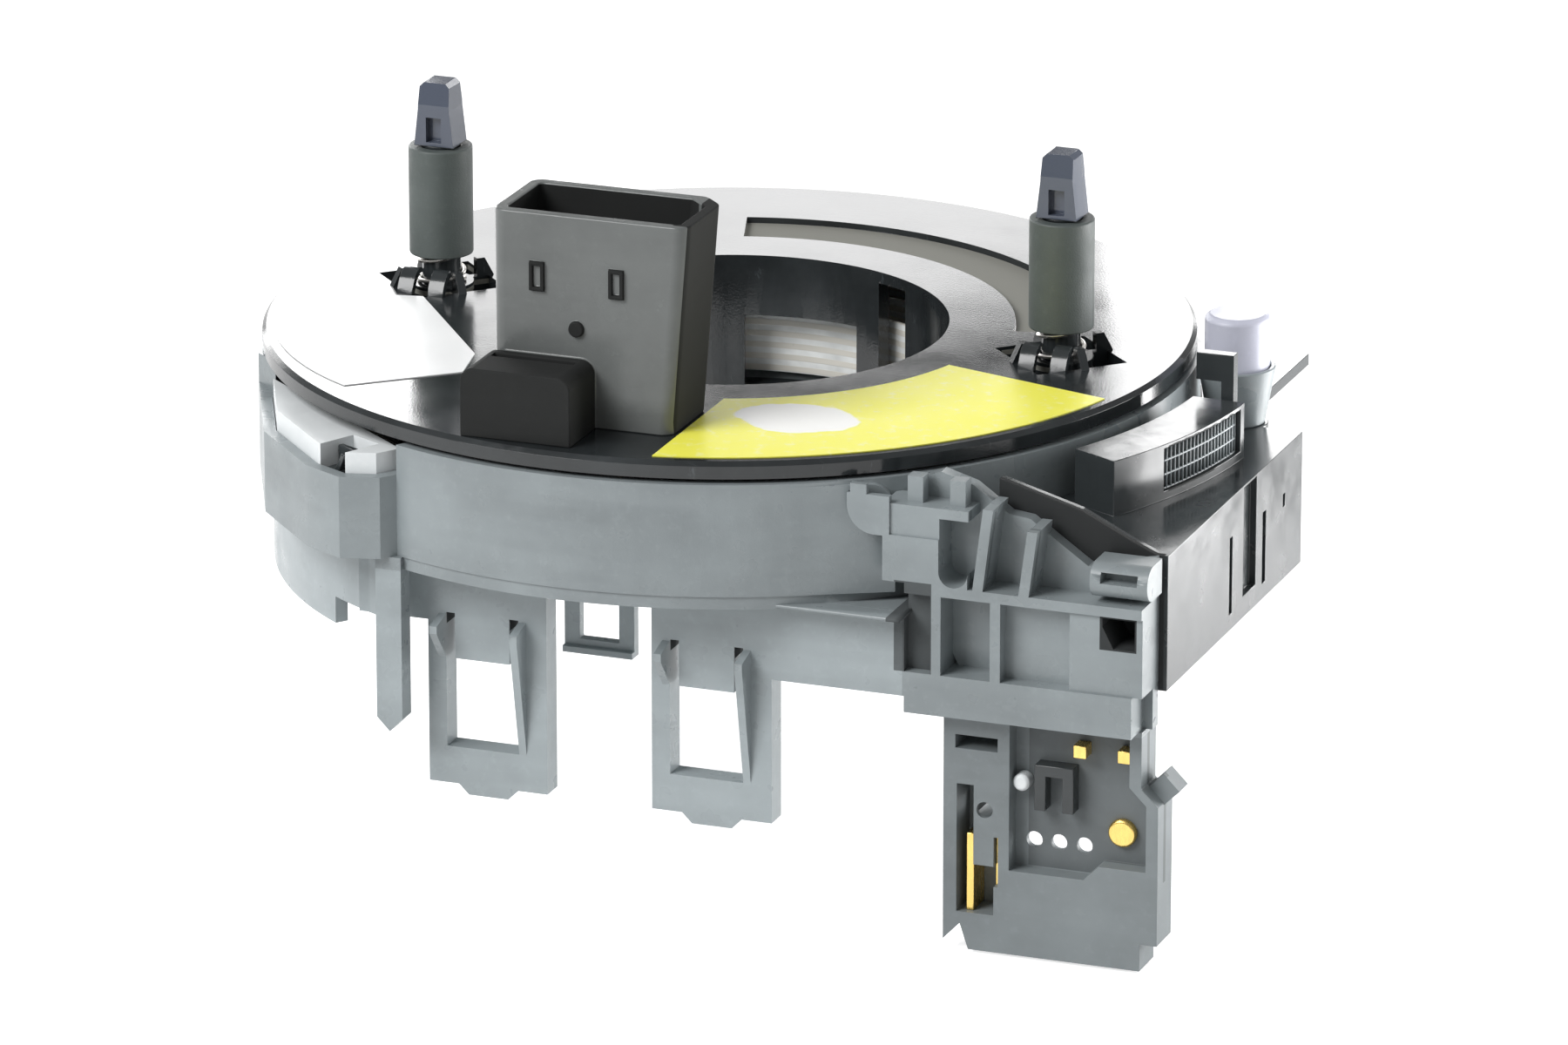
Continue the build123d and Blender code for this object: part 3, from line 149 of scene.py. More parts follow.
class ClockSpringSizes(bpy.types.PropertyGroup):
    """Sizes of the edge rounding and of the pieces that the frame doesn't hold"""

    edge_round: length("Edge rounding", "Radius on the edges of the mouldings", 0.00018)
    fine_edge_round: length("Fine edge rounding", "Radius on the edges of the small pieces", 0.0001)
    chord: angle("Arc step", "Largest turn between two points of an arc", 2.2, least=0.5)
    wire_radius: length("Wire radius", "Radius of the spring wire", 0.00025)
    coil_radius: length("Coil radius", "Radius of the lock springs at the wire's middle", 0.00265)
    spring_turns: FloatProperty(name="Spring turns", description="Turns of each lock spring", default=5.5, min=1)
    ledge_radius: length("Ledge radius", "Radius of the chamber floor that the carrier's ledge meets", 0.0541)
    ledge_depth: length("Ledge depth", "Top of the ledge below the top of the disc", 0.01662)
    ledge_thickness: length("Ledge thickness", "Thickness of the ledge", 0.0004)
    ledge_end: length("Ledge end", "Right end of the ledge, from the rotor axis", 0.0386)
    mesh_radius: length("Grille radius", "Radius at which the bars stand", 0.0631)
    mesh_top: length("Grille top", "Highest level bar below the top of the disc", 0.0027)
    mesh_foot: length("Grille foot", "Lowest level bar below the top of the disc", 0.0076)
    mesh_start: angle("Grille start", "First upright bar, as a turn from +X", -19.0)
    mesh_end: angle("Grille end", "Last upright bar, as a turn from +X", -4.2)
    mesh_bar: length("Grille bar", "Half width of a bar in the grille", 0.00016)
    mesh_columns: IntProperty(name="Grille columns", description="Upright bars in the grille", default=22, min=2)
    mesh_rows: IntProperty(name="Grille rows", description="Level bars in the grille", default=4, min=2)


class ClockSpringStage(bpy.types.PropertyGroup):
    """Camera, lamps and floor"""

    azimuth: angle("Azimuth", "Turn of the camera", 20.6)
    elevation: angle("Elevation", "Rise of the camera", 18.3)
    distance: length("Distance", "Camera to its aim", 1.216)
    lens: FloatProperty(name="Lens", description="Focal length in millimetres", default=240, min=1)
    aim: FloatVectorProperty(
        name="Aim", description="Point that the camera looks at", default=(0.00586, 0.00220, -0.02485), size=3,
        subtype="TRANSLATION", unit="LENGTH",
    )
    key_power: watts("Key power", "Soft lamp above the front left", 9.0)
    panel_power: watts("Panel power", "Low panel behind, mirrored in the disc", 0.092)
    side_power: watts("Side panel power", "Left panel behind, mirrored in the disc; the right one has half of it", 0.13)
    card_power: watts("Card power", "Low card on the right, mirrored in the housing", 0.8)
    fill: FloatProperty(name="Fill", description="Strength of the pale room", default=0.36, min=0)
    glow: FloatProperty(
        name="Floor glow", description="Glow of the floor for the camera and in reflections", default=0.7, min=0
    )
    floor_colour: colour("Floor", "Pale floor", (0.80, 0.80, 0.80))
    floor_drop: length("Floor drop", "Gap between the lowest piece and the floor", 0.0004)


# Mesh helpers


def new_piece(name, points, faces, body, material):
    """Make a mesh object from an array of points and a list of faces, and let it ride on a body."""
    mesh = bpy.data.meshes.new(name)
    mesh.from_pydata(points.tolist(), [], faces)
    mesh.validate()
    mesh.update()
    mesh.shade_smooth()
    piece = bpy.data.objects.new(name, mesh)
    bpy.context.scene.collection.objects.link(piece)
    piece.data.materials.append(material)
    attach(piece, body)
    return piece


def grid_faces(rows, columns, start=0, closed=False):
    """Quads of a grid of rows by columns points, row by row; closed joins the last column to the first."""
    row, column = np.meshgrid(np.arange(rows - 1), np.arange(columns if closed else columns - 1), indexing="ij")
    after = (column + 1) % columns
    quads = np.stack(
        [row * columns + column, row * columns + after, (row + 1) * columns + after, (row + 1) * columns + column],
        axis=-1,
    )
    return quads.reshape(-1, 4) + start


def tube(path, radius, sides):
    """Points and faces of a round tube with flat ends.

    Each point is the path's point plus radius times (cosine of v times the side direction plus sine
    of v times the up direction), where the side and up directions are square to the path."""
    path = np.asarray(path, float)
    along = np.gradient(path, axis=0)
    along /= np.linalg.norm(along, axis=1, keepdims=True)
    upright = np.abs(along[:, 2:3]) > STEEP
    helper = np.where(upright, [[1.0, 0.0, 0.0]], [[0.0, 0.0, 1.0]])
    side = np.cross(helper, along)
    side /= np.linalg.norm(side, axis=1, keepdims=True)
    up = np.cross(along, side)
    turn = np.arange(sides) * TAU / sides
    points = (
        path[:, None, :]
        + radius * np.cos(turn)[None, :, None] * side[:, None, :]
        + radius * np.sin(turn)[None, :, None] * up[:, None, :]
    ).reshape(-1, 3)
    faces = grid_faces(len(path), sides, closed=True).tolist()
    last = (len(path) - 1) * sides
    faces.append(list(range(sides))[::-1])
    faces.append([last + i for i in range(sides)])
    return points, faces


def film(top, thickness):
    """Points and faces of a thin closed film under a grid of top points: the lower face is the top one
    moved down by the thickness, and a wall round the rim joins the two."""
    rows, columns, _ = top.shape
    upper = top.reshape(-1, 3)
    lower = upper - np.array([0.0, 0.0, thickness])
    quads = grid_faces(rows, columns)
    under = quads[:, ::-1] + len(upper)
    index = np.arange(rows * columns).reshape(rows, columns)
    rim = np.concatenate([index[0, :], index[1:, -1], index[-1, -2::-1], index[-2:0:-1, 0]])
    after = np.roll(rim, -1)
    wall = np.stack([after, rim, rim + len(upper), after + len(upper)], axis=-1)
    return np.concatenate([upper, lower]), np.concatenate([quads, under, wall]).tolist()


def split_arcs(mesh, centre, step):
    """Halve each chord of an arc about an upright axis until none turns more than the step.

    A chord is an edge whose two ends stand equally far from the axis; each new point is moved
    straight away from the axis to that same radius."""
    cx, cy = centre
    key = mesh.edges.layers.float.get("arc") or mesh.edges.layers.float.new("arc")
    for _ in range(MOST_HALVINGS):
        chords = []
        for edge in mesh.edges:
            a, b = (v.co for v in edge.verts)
            ra, rb = math.hypot(a.x - cx, a.y - cy), math.hypot(b.x - cx, b.y - cy)
            if ra < SMALLEST_RADIUS or abs(ra - rb) > SAME_RADIUS:
                continue
            turn = abs(math.atan2(a.y - cy, a.x - cx) - math.atan2(b.y - cy, b.x - cx))
            turn = min(turn, TAU - turn)
            if step < turn < LONGEST_CHORD:
                chords.append((edge, ra))
        if not chords:
            return
        radii = {edge: radius for edge, radius in chords}
        for edge in mesh.edges:
            edge[key] = radii.get(edge, 0.0)
        made = bmesh.ops.subdivide_edges(mesh, edges=[e for e, _ in chords], cuts=1, use_grid_fill=False)
        for item in made["geom_inner"]:
            if isinstance(item, bmesh.types.BMVert):
                radius = max((e[key] for e in item.link_edges), default=0.0)
                if radius > 0:
                    here = math.hypot(item.co.x - cx, item.co.y - cy)
                    item.co.x = cx + (item.co.x - cx) * radius / here
                    item.co.y = cy + (item.co.y - cy) * radius / here


def moulding(node, name, body, material, edge, step, centres=(ROTOR_AXIS,)):
    """A finished copy of a solid: its points are welded, flat faces joined, arcs made fine and edges rounded."""
    mesh = bmesh.new()
    mesh.from_mesh(frame["nodes"][node].data)
    bmesh.ops.remove_doubles(mesh, verts=mesh.verts, dist=WELD)
    bmesh.ops.dissolve_limit(
        mesh, angle_limit=FLAT_ANGLE, verts=mesh.verts, edges=mesh.edges, delimit={"NORMAL"}
    )
    for centre in centres:
        split_arcs(mesh, centre, step)
    data = bpy.data.meshes.new(name)
    mesh.to_mesh(data)
    mesh.free()
    data.materials.clear()
    data.materials.append(material)
    data.shade_smooth()
    data.set_sharp_from_angle(angle=SMOOTH_ANGLE)
    piece = bpy.data.objects.new(name, data)
    bpy.context.scene.collection.objects.link(piece)
    if edge > 0:
        bevel = piece.modifiers.new("Rounded edges", "BEVEL")
        bevel.width = edge
        bevel.segments = 2
        bevel.limit_method = "ANGLE"
        bevel.angle_limit = ROUNDED_ANGLE
        bevel.use_clamp_overlap = True
        bevel.harden_normals = False
        normals = piece.modifiers.new("Even shading", "WEIGHTED_NORMAL")
        normals.keep_sharp = True
        normals.weight = 80
    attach(piece, body)
    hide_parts(node)
    return piece


def dress(node, material):
    """Give a solid of the frame its finish."""
    data = frame["nodes"][node].data
    data.materials.clear()
    data.materials.append(material)


def middle_of(node):
    """Middle of a node's box, seen from above."""
    low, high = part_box(node)
    return ((low.x + high.x) / 2, (low.y + high.y) / 2)


# Materials


class Finish:
    """A material under construction: a thin helper that adds nodes and links them."""

    def __init__(self, name):
        self.material = bpy.data.materials.new(name)
        self.material.use_nodes = True
        self.tree = self.material.node_tree
        self.shader = self.tree.nodes["Principled BSDF"]
        self.place = self.add("ShaderNodeTexCoord").outputs["Object"]

    def add(self, kind, **settings):
        """Add a node and set its own settings."""
        node = self.tree.nodes.new(kind)
        for key, value in settings.items():
            setattr(node, key, value)
        return node

    def link(self, output, target):
        """Link an output to a socket."""
        self.tree.links.new(output, target)

    def set(self, **sockets):
        """Set constant sockets of the shader itself."""
        for key, value in sockets.items():
            self.shader.inputs[key.replace("_", " ")].default_value = value

    def mapped(self, scale, shift=(0.0, 0.0, 0.0)):
        """Object coordinates stretched by three factors and then moved."""
        mapping = self.add("ShaderNodeMapping")
        mapping.inputs["Location"].default_value = shift
        mapping.inputs["Scale"].default_value = scale
        self.link(self.place, mapping.inputs["Vector"])
        return mapping.outputs["Vector"]

    def centred(self, middle, half):
        """Object coordinates from a middle point, each over its own half length."""
        return self.mapped(tuple(1 / h for h in half), tuple(-m / h for m, h in zip(middle, half)))

    def apart(self, vector):
        """The three coordinates of a vector as outputs."""
        part = self.add("ShaderNodeSeparateXYZ")
        self.link(vector, part.inputs["Vector"])
        return part.outputs["X"], part.outputs["Y"], part.outputs["Z"]

    def noise(self, scale, detail=3.0, roughness=0.5, vector=None):
        """Noise value between 0 and 1 at a scale in cells per metre."""
        node = self.add("ShaderNodeTexNoise")
        node.inputs["Scale"].default_value = scale
        node.inputs["Detail"].default_value = detail
        node.inputs["Roughness"].default_value = roughness
        self.link(vector or self.place, node.inputs["Vector"])
        return node.outputs["Fac"]

    def span(self, value, low, high, start=0.3, end=0.7):
        """Map a value from start..end to low..high, held at both ends."""
        node = self.add("ShaderNodeMapRange")
        node.inputs["From Min"].default_value = start
        node.inputs["From Max"].default_value = end
        node.inputs["To Min"].default_value = low
        node.inputs["To Max"].default_value = high
        self.link(value, node.inputs["Value"])
        return node.outputs["Result"]

    def blend(self, factor, first, second):
        """Mix two colours by a factor; each is a colour or an output."""
        node = self.add("ShaderNodeMix", data_type="RGBA")
        self.link(factor, node.inputs["Factor"])
        for value, socket in ((first, node.inputs["A"]), (second, node.inputs["B"])):
            if isinstance(value, (tuple, list)):
                socket.default_value = (*value[:3], 1)
            else:
                self.link(value, socket)
        return node.outputs["Result"]

    def tint(self, mask, tone, strength):
        """The colour of an output times the strength, where the mask is 1."""
        node = self.add("ShaderNodeMix", data_type="RGBA", blend_type="MULTIPLY")
        self.link(mask, node.inputs["Factor"])
        self.link(tone, node.inputs["A"])
        node.inputs["B"].default_value = (strength, strength, strength, 1)
        return node.outputs["Result"]

    def within(self, low, high):
        """Mask of a box in Object coordinates: 1 where the largest of the three distances from its middle,
        each over half the box, is under 1."""
        middle = [(a + b) / 2 for a, b in zip(low, high)]
        half = [(b - a) / 2 for a, b in zip(low, high)]
        distance = self.add("ShaderNodeVectorMath", operation="ABSOLUTE")
        self.link(self.centred(middle, half), distance.inputs[0])
        x, y, z = self.apart(distance.outputs["Vector"])
        largest = self.math("MAXIMUM", self.math("MAXIMUM", x, y), z)
        return self.math("LESS_THAN", largest, 1.0)

    def math(self, operation, *values):
        """A math node on outputs and constants."""
        node = self.add("ShaderNodeMath", operation=operation)
        for value, socket in zip(values, node.inputs):
            if isinstance(value, (int, float)):
                socket.default_value = value
            else:
                self.link(value, socket)
        return node.outputs["Value"]

    def bump(self, heights):
        """Bump from pairs of height value and depth in metres, laid on each other."""
        normal = None
        for height, depth in heights:
            node = self.add("ShaderNodeBump")
            node.inputs["Distance"].default_value = depth
            node.inputs["Strength"].default_value = 1.0
            self.link(height, node.inputs["Height"])
            if normal is not None:
                self.link(normal, node.inputs["Normal"])
            normal = node.outputs["Normal"]
        self.link(normal, self.shader.inputs["Normal"])


def shade(value, factor):
    """A colour made darker or lighter by a factor."""
    return tuple(min(1.0, channel * factor) for channel in value)


def satin_plastic(name, base, rough=0.31, spread=0.18, grain=0.000010, dust=0.25, painted_shade_and_light=(), mirror=0.5):
    """Moulded plastic: cloudy colour, pale dust in patches, fine spark grain and faint flow marks.

    Each row of the boxes holds the two corners of a box and the factor of the colour in it: under 1 the faces get
    painted shade, darker and matt; over 1 they get painted light, paler."""
    finish = Finish(name)
    cloud = finish.noise(55, 4, 0.6)
    fleck = finish.noise(900, 2, 0.6)
    grain_cells = finish.noise(4200, 2, 0.55)
    flow = finish.noise(40, 2, 0.5, finish.mapped((1.0, 1.0, 9.0)))
    toned = finish.blend(finish.span(cloud, 0, 1), shade(base, 1 - spread), shade(base, 1 + spread))
    marked = finish.blend(finish.span(flow, 0, 0.35, 0.45, 0.7), toned, shade(base, 1 + 1.3 * spread))
    tone = finish.blend(finish.span(fleck, 0, dust, 0.56, 0.72), marked, shade(base, 1.5))
    haze = finish.span(finish.noise(260, 3), rough - 0.07, rough + 0.09)
    # Painted shade and painted light: each box scales the colour by its factor.
    for low, high, factor in painted_shade_and_light:
        inside = finish.within(low, high)
        tone = finish.tint(inside, tone, factor)
        haze = finish.math("MAXIMUM", haze, finish.math("MULTIPLY", inside, 0.9 - 0.5 * factor))
    finish.link(tone, finish.shader.inputs["Base Color"])
    finish.link(haze, finish.shader.inputs["Roughness"])
    finish.set(**{"IOR": 1.5, "Specular IOR Level": mirror})
    finish.bump([(grain_cells, grain), (cloud, 0.00004)])
    return finish.material


def polished_plastic(name, base, rough=0.09, band_tone=(0.22, 0.22, 0.195), head_tone=(0.075, 0.088, 0.120)):
    """Polished black plastic: deep colour, a thin haze of handling marks, hair scratches and a slight wave.

    The sunk band of the disc is matt and paler: the mask is 1 where the distance from the rotor axis
    lies between the two radii of the band, on the band's floor. The snap heads above the sleeves are bluer."""
    band_inner, band_outer, band_depth, floor_play = 33.1 * MM, 40.9 * MM, 0.7 * MM, 0.3 * MM
    head_rise = 0.3 * MM
    head_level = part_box("left_lock_sleeve")[1].z + head_rise
    finish = Finish(name)
    haze = finish.noise(70, 4, 0.62)
    scratch = finish.noise(300, 3, 0.7, finish.mapped((0.5, 9.0, 1.0)))
    wave = finish.noise(60, 1, 0.4)
    grain = finish.noise(3600, 2, 0.6)
    toned = finish.blend(finish.span(haze, 0, 1), base, shade(base, 2.4))
    scratched = finish.blend(finish.span(scratch, 0, 0.5, 0.66, 0.75), toned, shade(base, 7))
    x, y, z = finish.apart(finish.place)
    squares = finish.math("ADD", finish.math("MULTIPLY", x, x), finish.math("MULTIPLY", y, y))
    radius = finish.math("SQRT", squares)
    ring = finish.math("COMPARE", radius, (band_inner + band_outer) / 2, (band_outer - band_inner) / 2)
    matt = finish.math("MULTIPLY", ring, finish.math("COMPARE", z, -band_depth, floor_play))
    headed = finish.blend(finish.math("GREATER_THAN", z, head_level), scratched, head_tone)
    banded = finish.blend(matt, headed, band_tone)
    gloss = finish.span(haze, rough, rough + 0.12, 0.35, 0.75)
    finish.link(banded, finish.shader.inputs["Base Color"])
    finish.link(finish.math("MAXIMUM", gloss, matt), finish.shader.inputs["Roughness"])
    finish.set(IOR=1.5)
    finish.bump([(wave, 0.00008), (scratch, 0.000004), (grain, 0.000008)])
    return finish.material


def label_film(name, base, pale, centre, reach):
    """Bare film: an oval of a paler tone, with a slightly uneven edge, a paper tooth and small scuffs.

    The oval is where the distance from its centre, each coordinate over its own reach, is under 1."""
    finish = Finish(name)
    distance = finish.add("ShaderNodeVectorMath", operation="LENGTH")
    finish.link(finish.centred(centre, reach), distance.inputs[0])
    wobble = finish.noise(140, 3, 0.6)
    edge = finish.math("ADD", distance.outputs["Value"], finish.span(wobble, -0.12, 0.12))
    faded = finish.blend(finish.span(edge, 1, 0, 0.98, 1.04), base, pale)
    scuffed = finish.blend(finish.span(finish.noise(700, 3, 0.6), 0, 0.3, 0.55, 0.75), faded, shade(pale, 1.1))
    finish.link(scuffed, finish.shader.inputs["Base Color"])
    finish.link(finish.span(wobble, 0.34, 0.5), finish.shader.inputs["Roughness"])
    finish.bump([(finish.noise(2600, 2), 0.00001), (wobble, 0.00002)])
    return finish.material


def plated_metal(name, base, rough=0.22):
    """Drawn or plated metal: warm metal with draw lines and duller patches."""
    finish = Finish(name)
    lines = finish.noise(500, 3, 0.6, finish.mapped((6.0, 6.0, 0.6)))
    patch = finish.noise(220, 3, 0.6)
    toned = finish.blend(finish.span(patch, 0, 1), shade(base, 0.78), shade(base, 1.06))
    finish.link(toned, finish.shader.inputs["Base Color"])
    finish.link(finish.span(lines, rough - 0.06, rough + 0.16), finish.shader.inputs["Roughness"])
    finish.set(Metallic=1.0)
    finish.bump([(lines, 0.000008)])
    return finish.material


def ribbon_film(name, base):
    """Flat cable: film with tracks that run along it as level bands, the sine of the height over their pitch."""
    track_pitch, track_tone = 1.4 * MM, (0.66, 0.64, 0.58)
    finish = Finish(name)
    _, _, z = finish.apart(finish.place)
    wave = finish.math("SINE", finish.math("MULTIPLY", z, TAU / track_pitch))
    tracks = finish.span(wave, 0, 1, -0.2, 0.2)
    film_colour = finish.blend(finish.span(finish.noise(180, 3), 0, 1), shade(base, 0.7), shade(base, 1.2))
    tracked = finish.blend(tracks, film_colour, track_tone)
    finish.link(tracked, finish.shader.inputs["Base Color"])
    finish.link(finish.span(finish.noise(300, 2), 0.25, 0.4), finish.shader.inputs["Roughness"])
    finish.bump([(tracks, 0.00002)])
    return finish.material


def laminate(name, base):
    """Circuit board: lacquered glass cloth with a fine weave and lighter tracks."""
    finish = Finish(name)
    weave = finish.add("ShaderNodeTexChecker")
    weave.inputs["Scale"].default_value = 1600
    finish.link(finish.place, weave.inputs["Vector"])
    tracks = finish.noise(120, 1, 0.3, finish.mapped((1.0, 3.0, 1.0)))
    toned = finish.blend(finish.span(tracks, 0, 1, 0.49, 0.52), base, shade(base, 1.7))
    finish.link(toned, finish.shader.inputs["Base Color"])
    finish.link(finish.span(finish.noise(400, 2), 0.25, 0.4), finish.shader.inputs["Roughness"])
    finish.bump([(weave.outputs["Fac"], 0.000006)])
    return finish.material


def socket_painted_shade():
    """Boxes of painted shade on the airbag socket: the inside of the shroud, the latch block, the snap outlines with
    the bump on the front, and the face on the right."""
    low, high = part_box("connector_shroud")
    half_wall, skin, gap = 0.7 * MM, 0.2 * MM, 0.05 * MM
    depth, overhang, slant, step = 12.8 * MM, 0.8 * MM, 1.8 * MM, 0.8 * MM
    latch_right, latch_top = 1.5 * MM, 9.0 * MM
    marks_left, marks_right, side_left, side_foot = -10.0 * MM, 9.0 * MM, 9.8 * MM, -1.0 * MM
    front = high.y - depth
    inner_left, inner_right = low.x + overhang + half_wall, high.x - slant - half_wall
    return (
        ((inner_left, front + half_wall, 0.0), (inner_right, high.y - half_wall, high.z - skin), 0.1),
        ((low.x - half_wall, low.y - half_wall, 0.0), (latch_right, front - skin, latch_top), 0.12),
        ((marks_left, front - step, latch_top), (marks_right, front - gap, high.z), 0.1),
        ((side_left, front + step, side_foot), tuple(value + half_wall for value in high), 0.08),
    )


def housing_painted_shade():
    """Boxes of painted shade on the sensor housing: the front of the end wall, which stands in the shade of the arm,
    and the window of the grille wall."""
    low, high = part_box("sensor_housing")
    wall_left, wall_skin, skin, edge = 45.0 * MM, 0.7 * MM, 0.2 * MM, 0.4 * MM
    window_left, window_right = 56.0 * MM, 62.8 * MM
    window_front, window_back = -20.5 * MM, -4.0 * MM
    window_foot, window_top = -7.8 * MM, -2.4 * MM
    return (
        ((wall_left, low.y - skin, low.z), (high.x - edge, low.y + wall_skin, high.z), 0.35),
        ((window_left, window_front, window_foot), (window_right, window_back, window_top), 0.35),
    )


def skirt_painted_shade_and_light():
    """Boxes of painted shadow on the tops of the slots in the snap frames, and of painted light on the paler skirt and
    frames below the floor of the chamber, on the front and the back half."""
    margin, slot_width, slot_foot, slot_top = 0.1 * MM, 1.1 * MM, -24.6 * MM, -23.2 * MM
    slot_front, slot_back = -45.8 * MM, -43.0 * MM
    floor_under, reach, frames_foot = -17.1 * MM, 60.0 * MM, -45.0 * MM
    front_right, back_right = 38.0 * MM, 41.0 * MM
    slots = [
        ((left - margin, slot_front, slot_foot), (left + slot_width + margin, slot_back, slot_top + margin), 0.12)
        for left in (-16.8 * MM, -9.1 * MM, 10.3 * MM, 18.0 * MM)
    ]
    return (
        *slots,
        ((-reach, -reach, frames_foot), (front_right, 0.0, floor_under), 1.35),
        ((-reach, 0.0, frames_foot), (back_right, reach, floor_under), 1.35),
    )


def arm_painted_shade():
    """Boxes of painted shade on the arm: the deep cell on the left, the keyed hole, and the web between the tilted
    ribs."""
    low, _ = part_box("mounting_carrier")
    front, back, web, skin = low.y + 5.5 * MM, low.y + 15.0 * MM, low.y + 9.4 * MM, 0.3 * MM
    shoulder, middle, crest = -23.6 * MM, -13.0 * MM, -4.0 * MM
    cell_left, cell_right = 37.0 * MM, 41.4 * MM
    hole_left, hole_right, hole_foot, hole_top = 61.0 * MM, 65.3 * MM, -18.4 * MM, -14.5 * MM
    web_left, web_right = 45.6 * MM, 59.0 * MM
    return (
        ((cell_left, front, shoulder), (cell_right, back, middle), 0.3),
        ((hole_left, front, hole_foot), (hole_right, back, hole_top), 0.1),
        ((web_left, web - skin, middle), (web_right, web + skin, crest), 0.6),
    )


def block_tone_and_painted_shade():
    """Boxes round the terminal block below the arm, a little darker than the arm, and round its recess, which gets
    painted shade.
    """
    low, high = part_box("terminal_block")
    skin, arm_foot, recess_foot = 0.2 * MM, -29.0 * MM, -46.5 * MM
    column, right_rim, recess_front, recess_back = 9.3 * MM, 1.5 * MM, 2.0 * MM, 2.8 * MM
    recess_left, recess_right = low.x + column, high.x - right_rim
    return (
        ((low.x, low.y - skin, low.z), (high.x, high.y, arm_foot), 0.82),
        ((recess_left, low.y + recess_front, recess_foot), (recess_right, low.y + recess_back, arm_foot), 0.62),
    )


FINISHES = {}


def finishes():
    """The object's finishes by material slot, made once from the panel's colours."""
    if FINISHES:
        return FINISHES
    colours = bpy.context.scene.clock_spring_colours
    tones = {key: tuple(getattr(colours, key)) for key in colours.__annotations__}
    # Painted shadow on the slot tops, painted light on the skirts and frames, painted shade in the block's recess and
    # the arm's cell, hole and web, and a darker tone on the terminal block.
    gray_painted_shade_and_light = (*skirt_painted_shade_and_light(), *block_tone_and_painted_shade(), *arm_painted_shade())
    FINISHES.update(
        gray_plastic=satin_plastic("Gray moulded plastic", tones["gray_plastic"], dust=0.14, painted_shade_and_light=gray_painted_shade_and_light),
        gloss_black_plastic=polished_plastic("Polished black plastic", tones["gloss_black"]),
        charcoal_plastic=satin_plastic(
            "Charcoal moulded plastic", tones["charcoal_plastic"], rough=0.2, dust=0.12, mirror=0.28,
            painted_shade_and_light=socket_painted_shade(),
        ),
        dark_plastic=satin_plastic(
            "Dark moulded plastic", tones["dark_plastic"], rough=0.2, dust=0.06, grain=0.000003,
            painted_shade_and_light=housing_painted_shade(),
        ),
        sleeve_plastic=satin_plastic("Matte sleeve plastic", tones["sleeve_plastic"], rough=0.55, grain=0.00003),
        spring_steel=plated_metal("Spring steel", tones["spring_steel"], rough=0.3),
        yellow_film=label_film(
            "Yellow label film", tones["yellow_film"], pale=(0.93, 0.93, 0.90),
            centre=(0.0206, -0.0330, 0.0), reach=(0.0066, 0.0052, 1.0),
        ),
        white_film=label_film(
            "White label film", tones["white_film"], pale=(0.93, 0.94, 0.94),
            centre=(-0.036, -0.024, 0.0), reach=(0.02, 0.02, 1.0),
        ),
        ribbon_film=ribbon_film("Flat cable film", tones["ribbon_film"]),
        board_laminate=laminate("Board laminate", tones["board_laminate"]),
        buffer_plastic=satin_plastic(
            "Lilac buffer plastic", tones["buffer_plastic"], rough=0.38, spread=0.06, dust=0.1
        ),
        gold_contact=plated_metal("Gold plating", tones["gold_contact"]),
        pale_plastic=satin_plastic("Pale holder plastic", tones["pale_plastic"], rough=0.4, spread=0.05, dust=0.1),
    )
    return FINISHES


# Operators, one for each piece or group of like pieces


def mould(context, nodes, edge=None, centres=(ROTOR_AXIS,), step_factor=1.0):
    """Finished copies of several solids in their own finishes; without an edge they get the common rounding."""
    sizes = context.scene.clock_spring_sizes
    for node in nodes:
        slot = SLOT_OF[node]
        moulding(
            node, node + "_moulding", BODY_OF[node], finishes()[slot],
            sizes.edge_round if edge is None else edge, sizes.chord * step_factor, centres,
        )


class CLOCKSPRING_OT_stator(bpy.types.Operator):
    """Finish the ribbon case, carrier, sensor housing and covers"""

    bl_idname = "clockspring.stator"
    bl_label = "Stator mouldings"

    def execute(self, context):
        mould(context, ("stator_case", "mounting_carrier", "sensor_housing", "lower_cover", "housing_cover"))
        mould(context, ("ribbon_end_holder", "holder_clip"))
        self.ledge(context.scene.clock_spring_sizes)
        return {"FINISHED"}

    def ledge(self, sizes):
        """Level ledge of the carrier between the round floor and the straight front skirt: the near edge runs
        along the skirt, the far edge along the circle, y = -sqrt(radius squared - x squared)."""
        skirt_reach, along, across = 5.6 * MM, 24, 6
        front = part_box("mounting_carrier")[0].y + skirt_reach
        start = math.sqrt(sizes.ledge_radius**2 - front**2)
        x, share = np.meshgrid(np.linspace(start, sizes.ledge_end, along), np.linspace(0, 1, across))
        far = -np.sqrt(sizes.ledge_radius**2 - x**2)
        y = front * (1 - share) + far * share
        top = np.stack([x, y, np.full_like(x, -sizes.ledge_depth)], axis=-1)
        points, faces = film(top, sizes.ledge_thickness)
        new_piece("carrier_ledge", points, faces, "stator", finishes()["gray_plastic"])


class CLOCKSPRING_OT_rotor(bpy.types.Operator):
    """Finish the rotor disc with its posts, the hub and the code ring"""

    bl_idname = "clockspring.rotor"
    bl_label = "Rotor mouldings"

    def execute(self, context):
        posts = (middle_of("left_lock_sleeve"), middle_of("right_lock_sleeve"))
        mould(context, ("rotor_disc",), centres=(ROTOR_AXIS, *posts))
        mould(context, ("rotor_hub", "code_ring"))
        return {"FINISHED"}


class CLOCKSPRING_OT_socket(bpy.types.Operator):
    """Finish the airbag socket and its terminals"""

    bl_idname = "clockspring.socket"
    bl_label = "Airbag socket"

    def execute(self, context):
        mould(context, ("connector_shroud",))
        dress("socket_terminals", finishes()["gold_contact"])
        return {"FINISHED"}


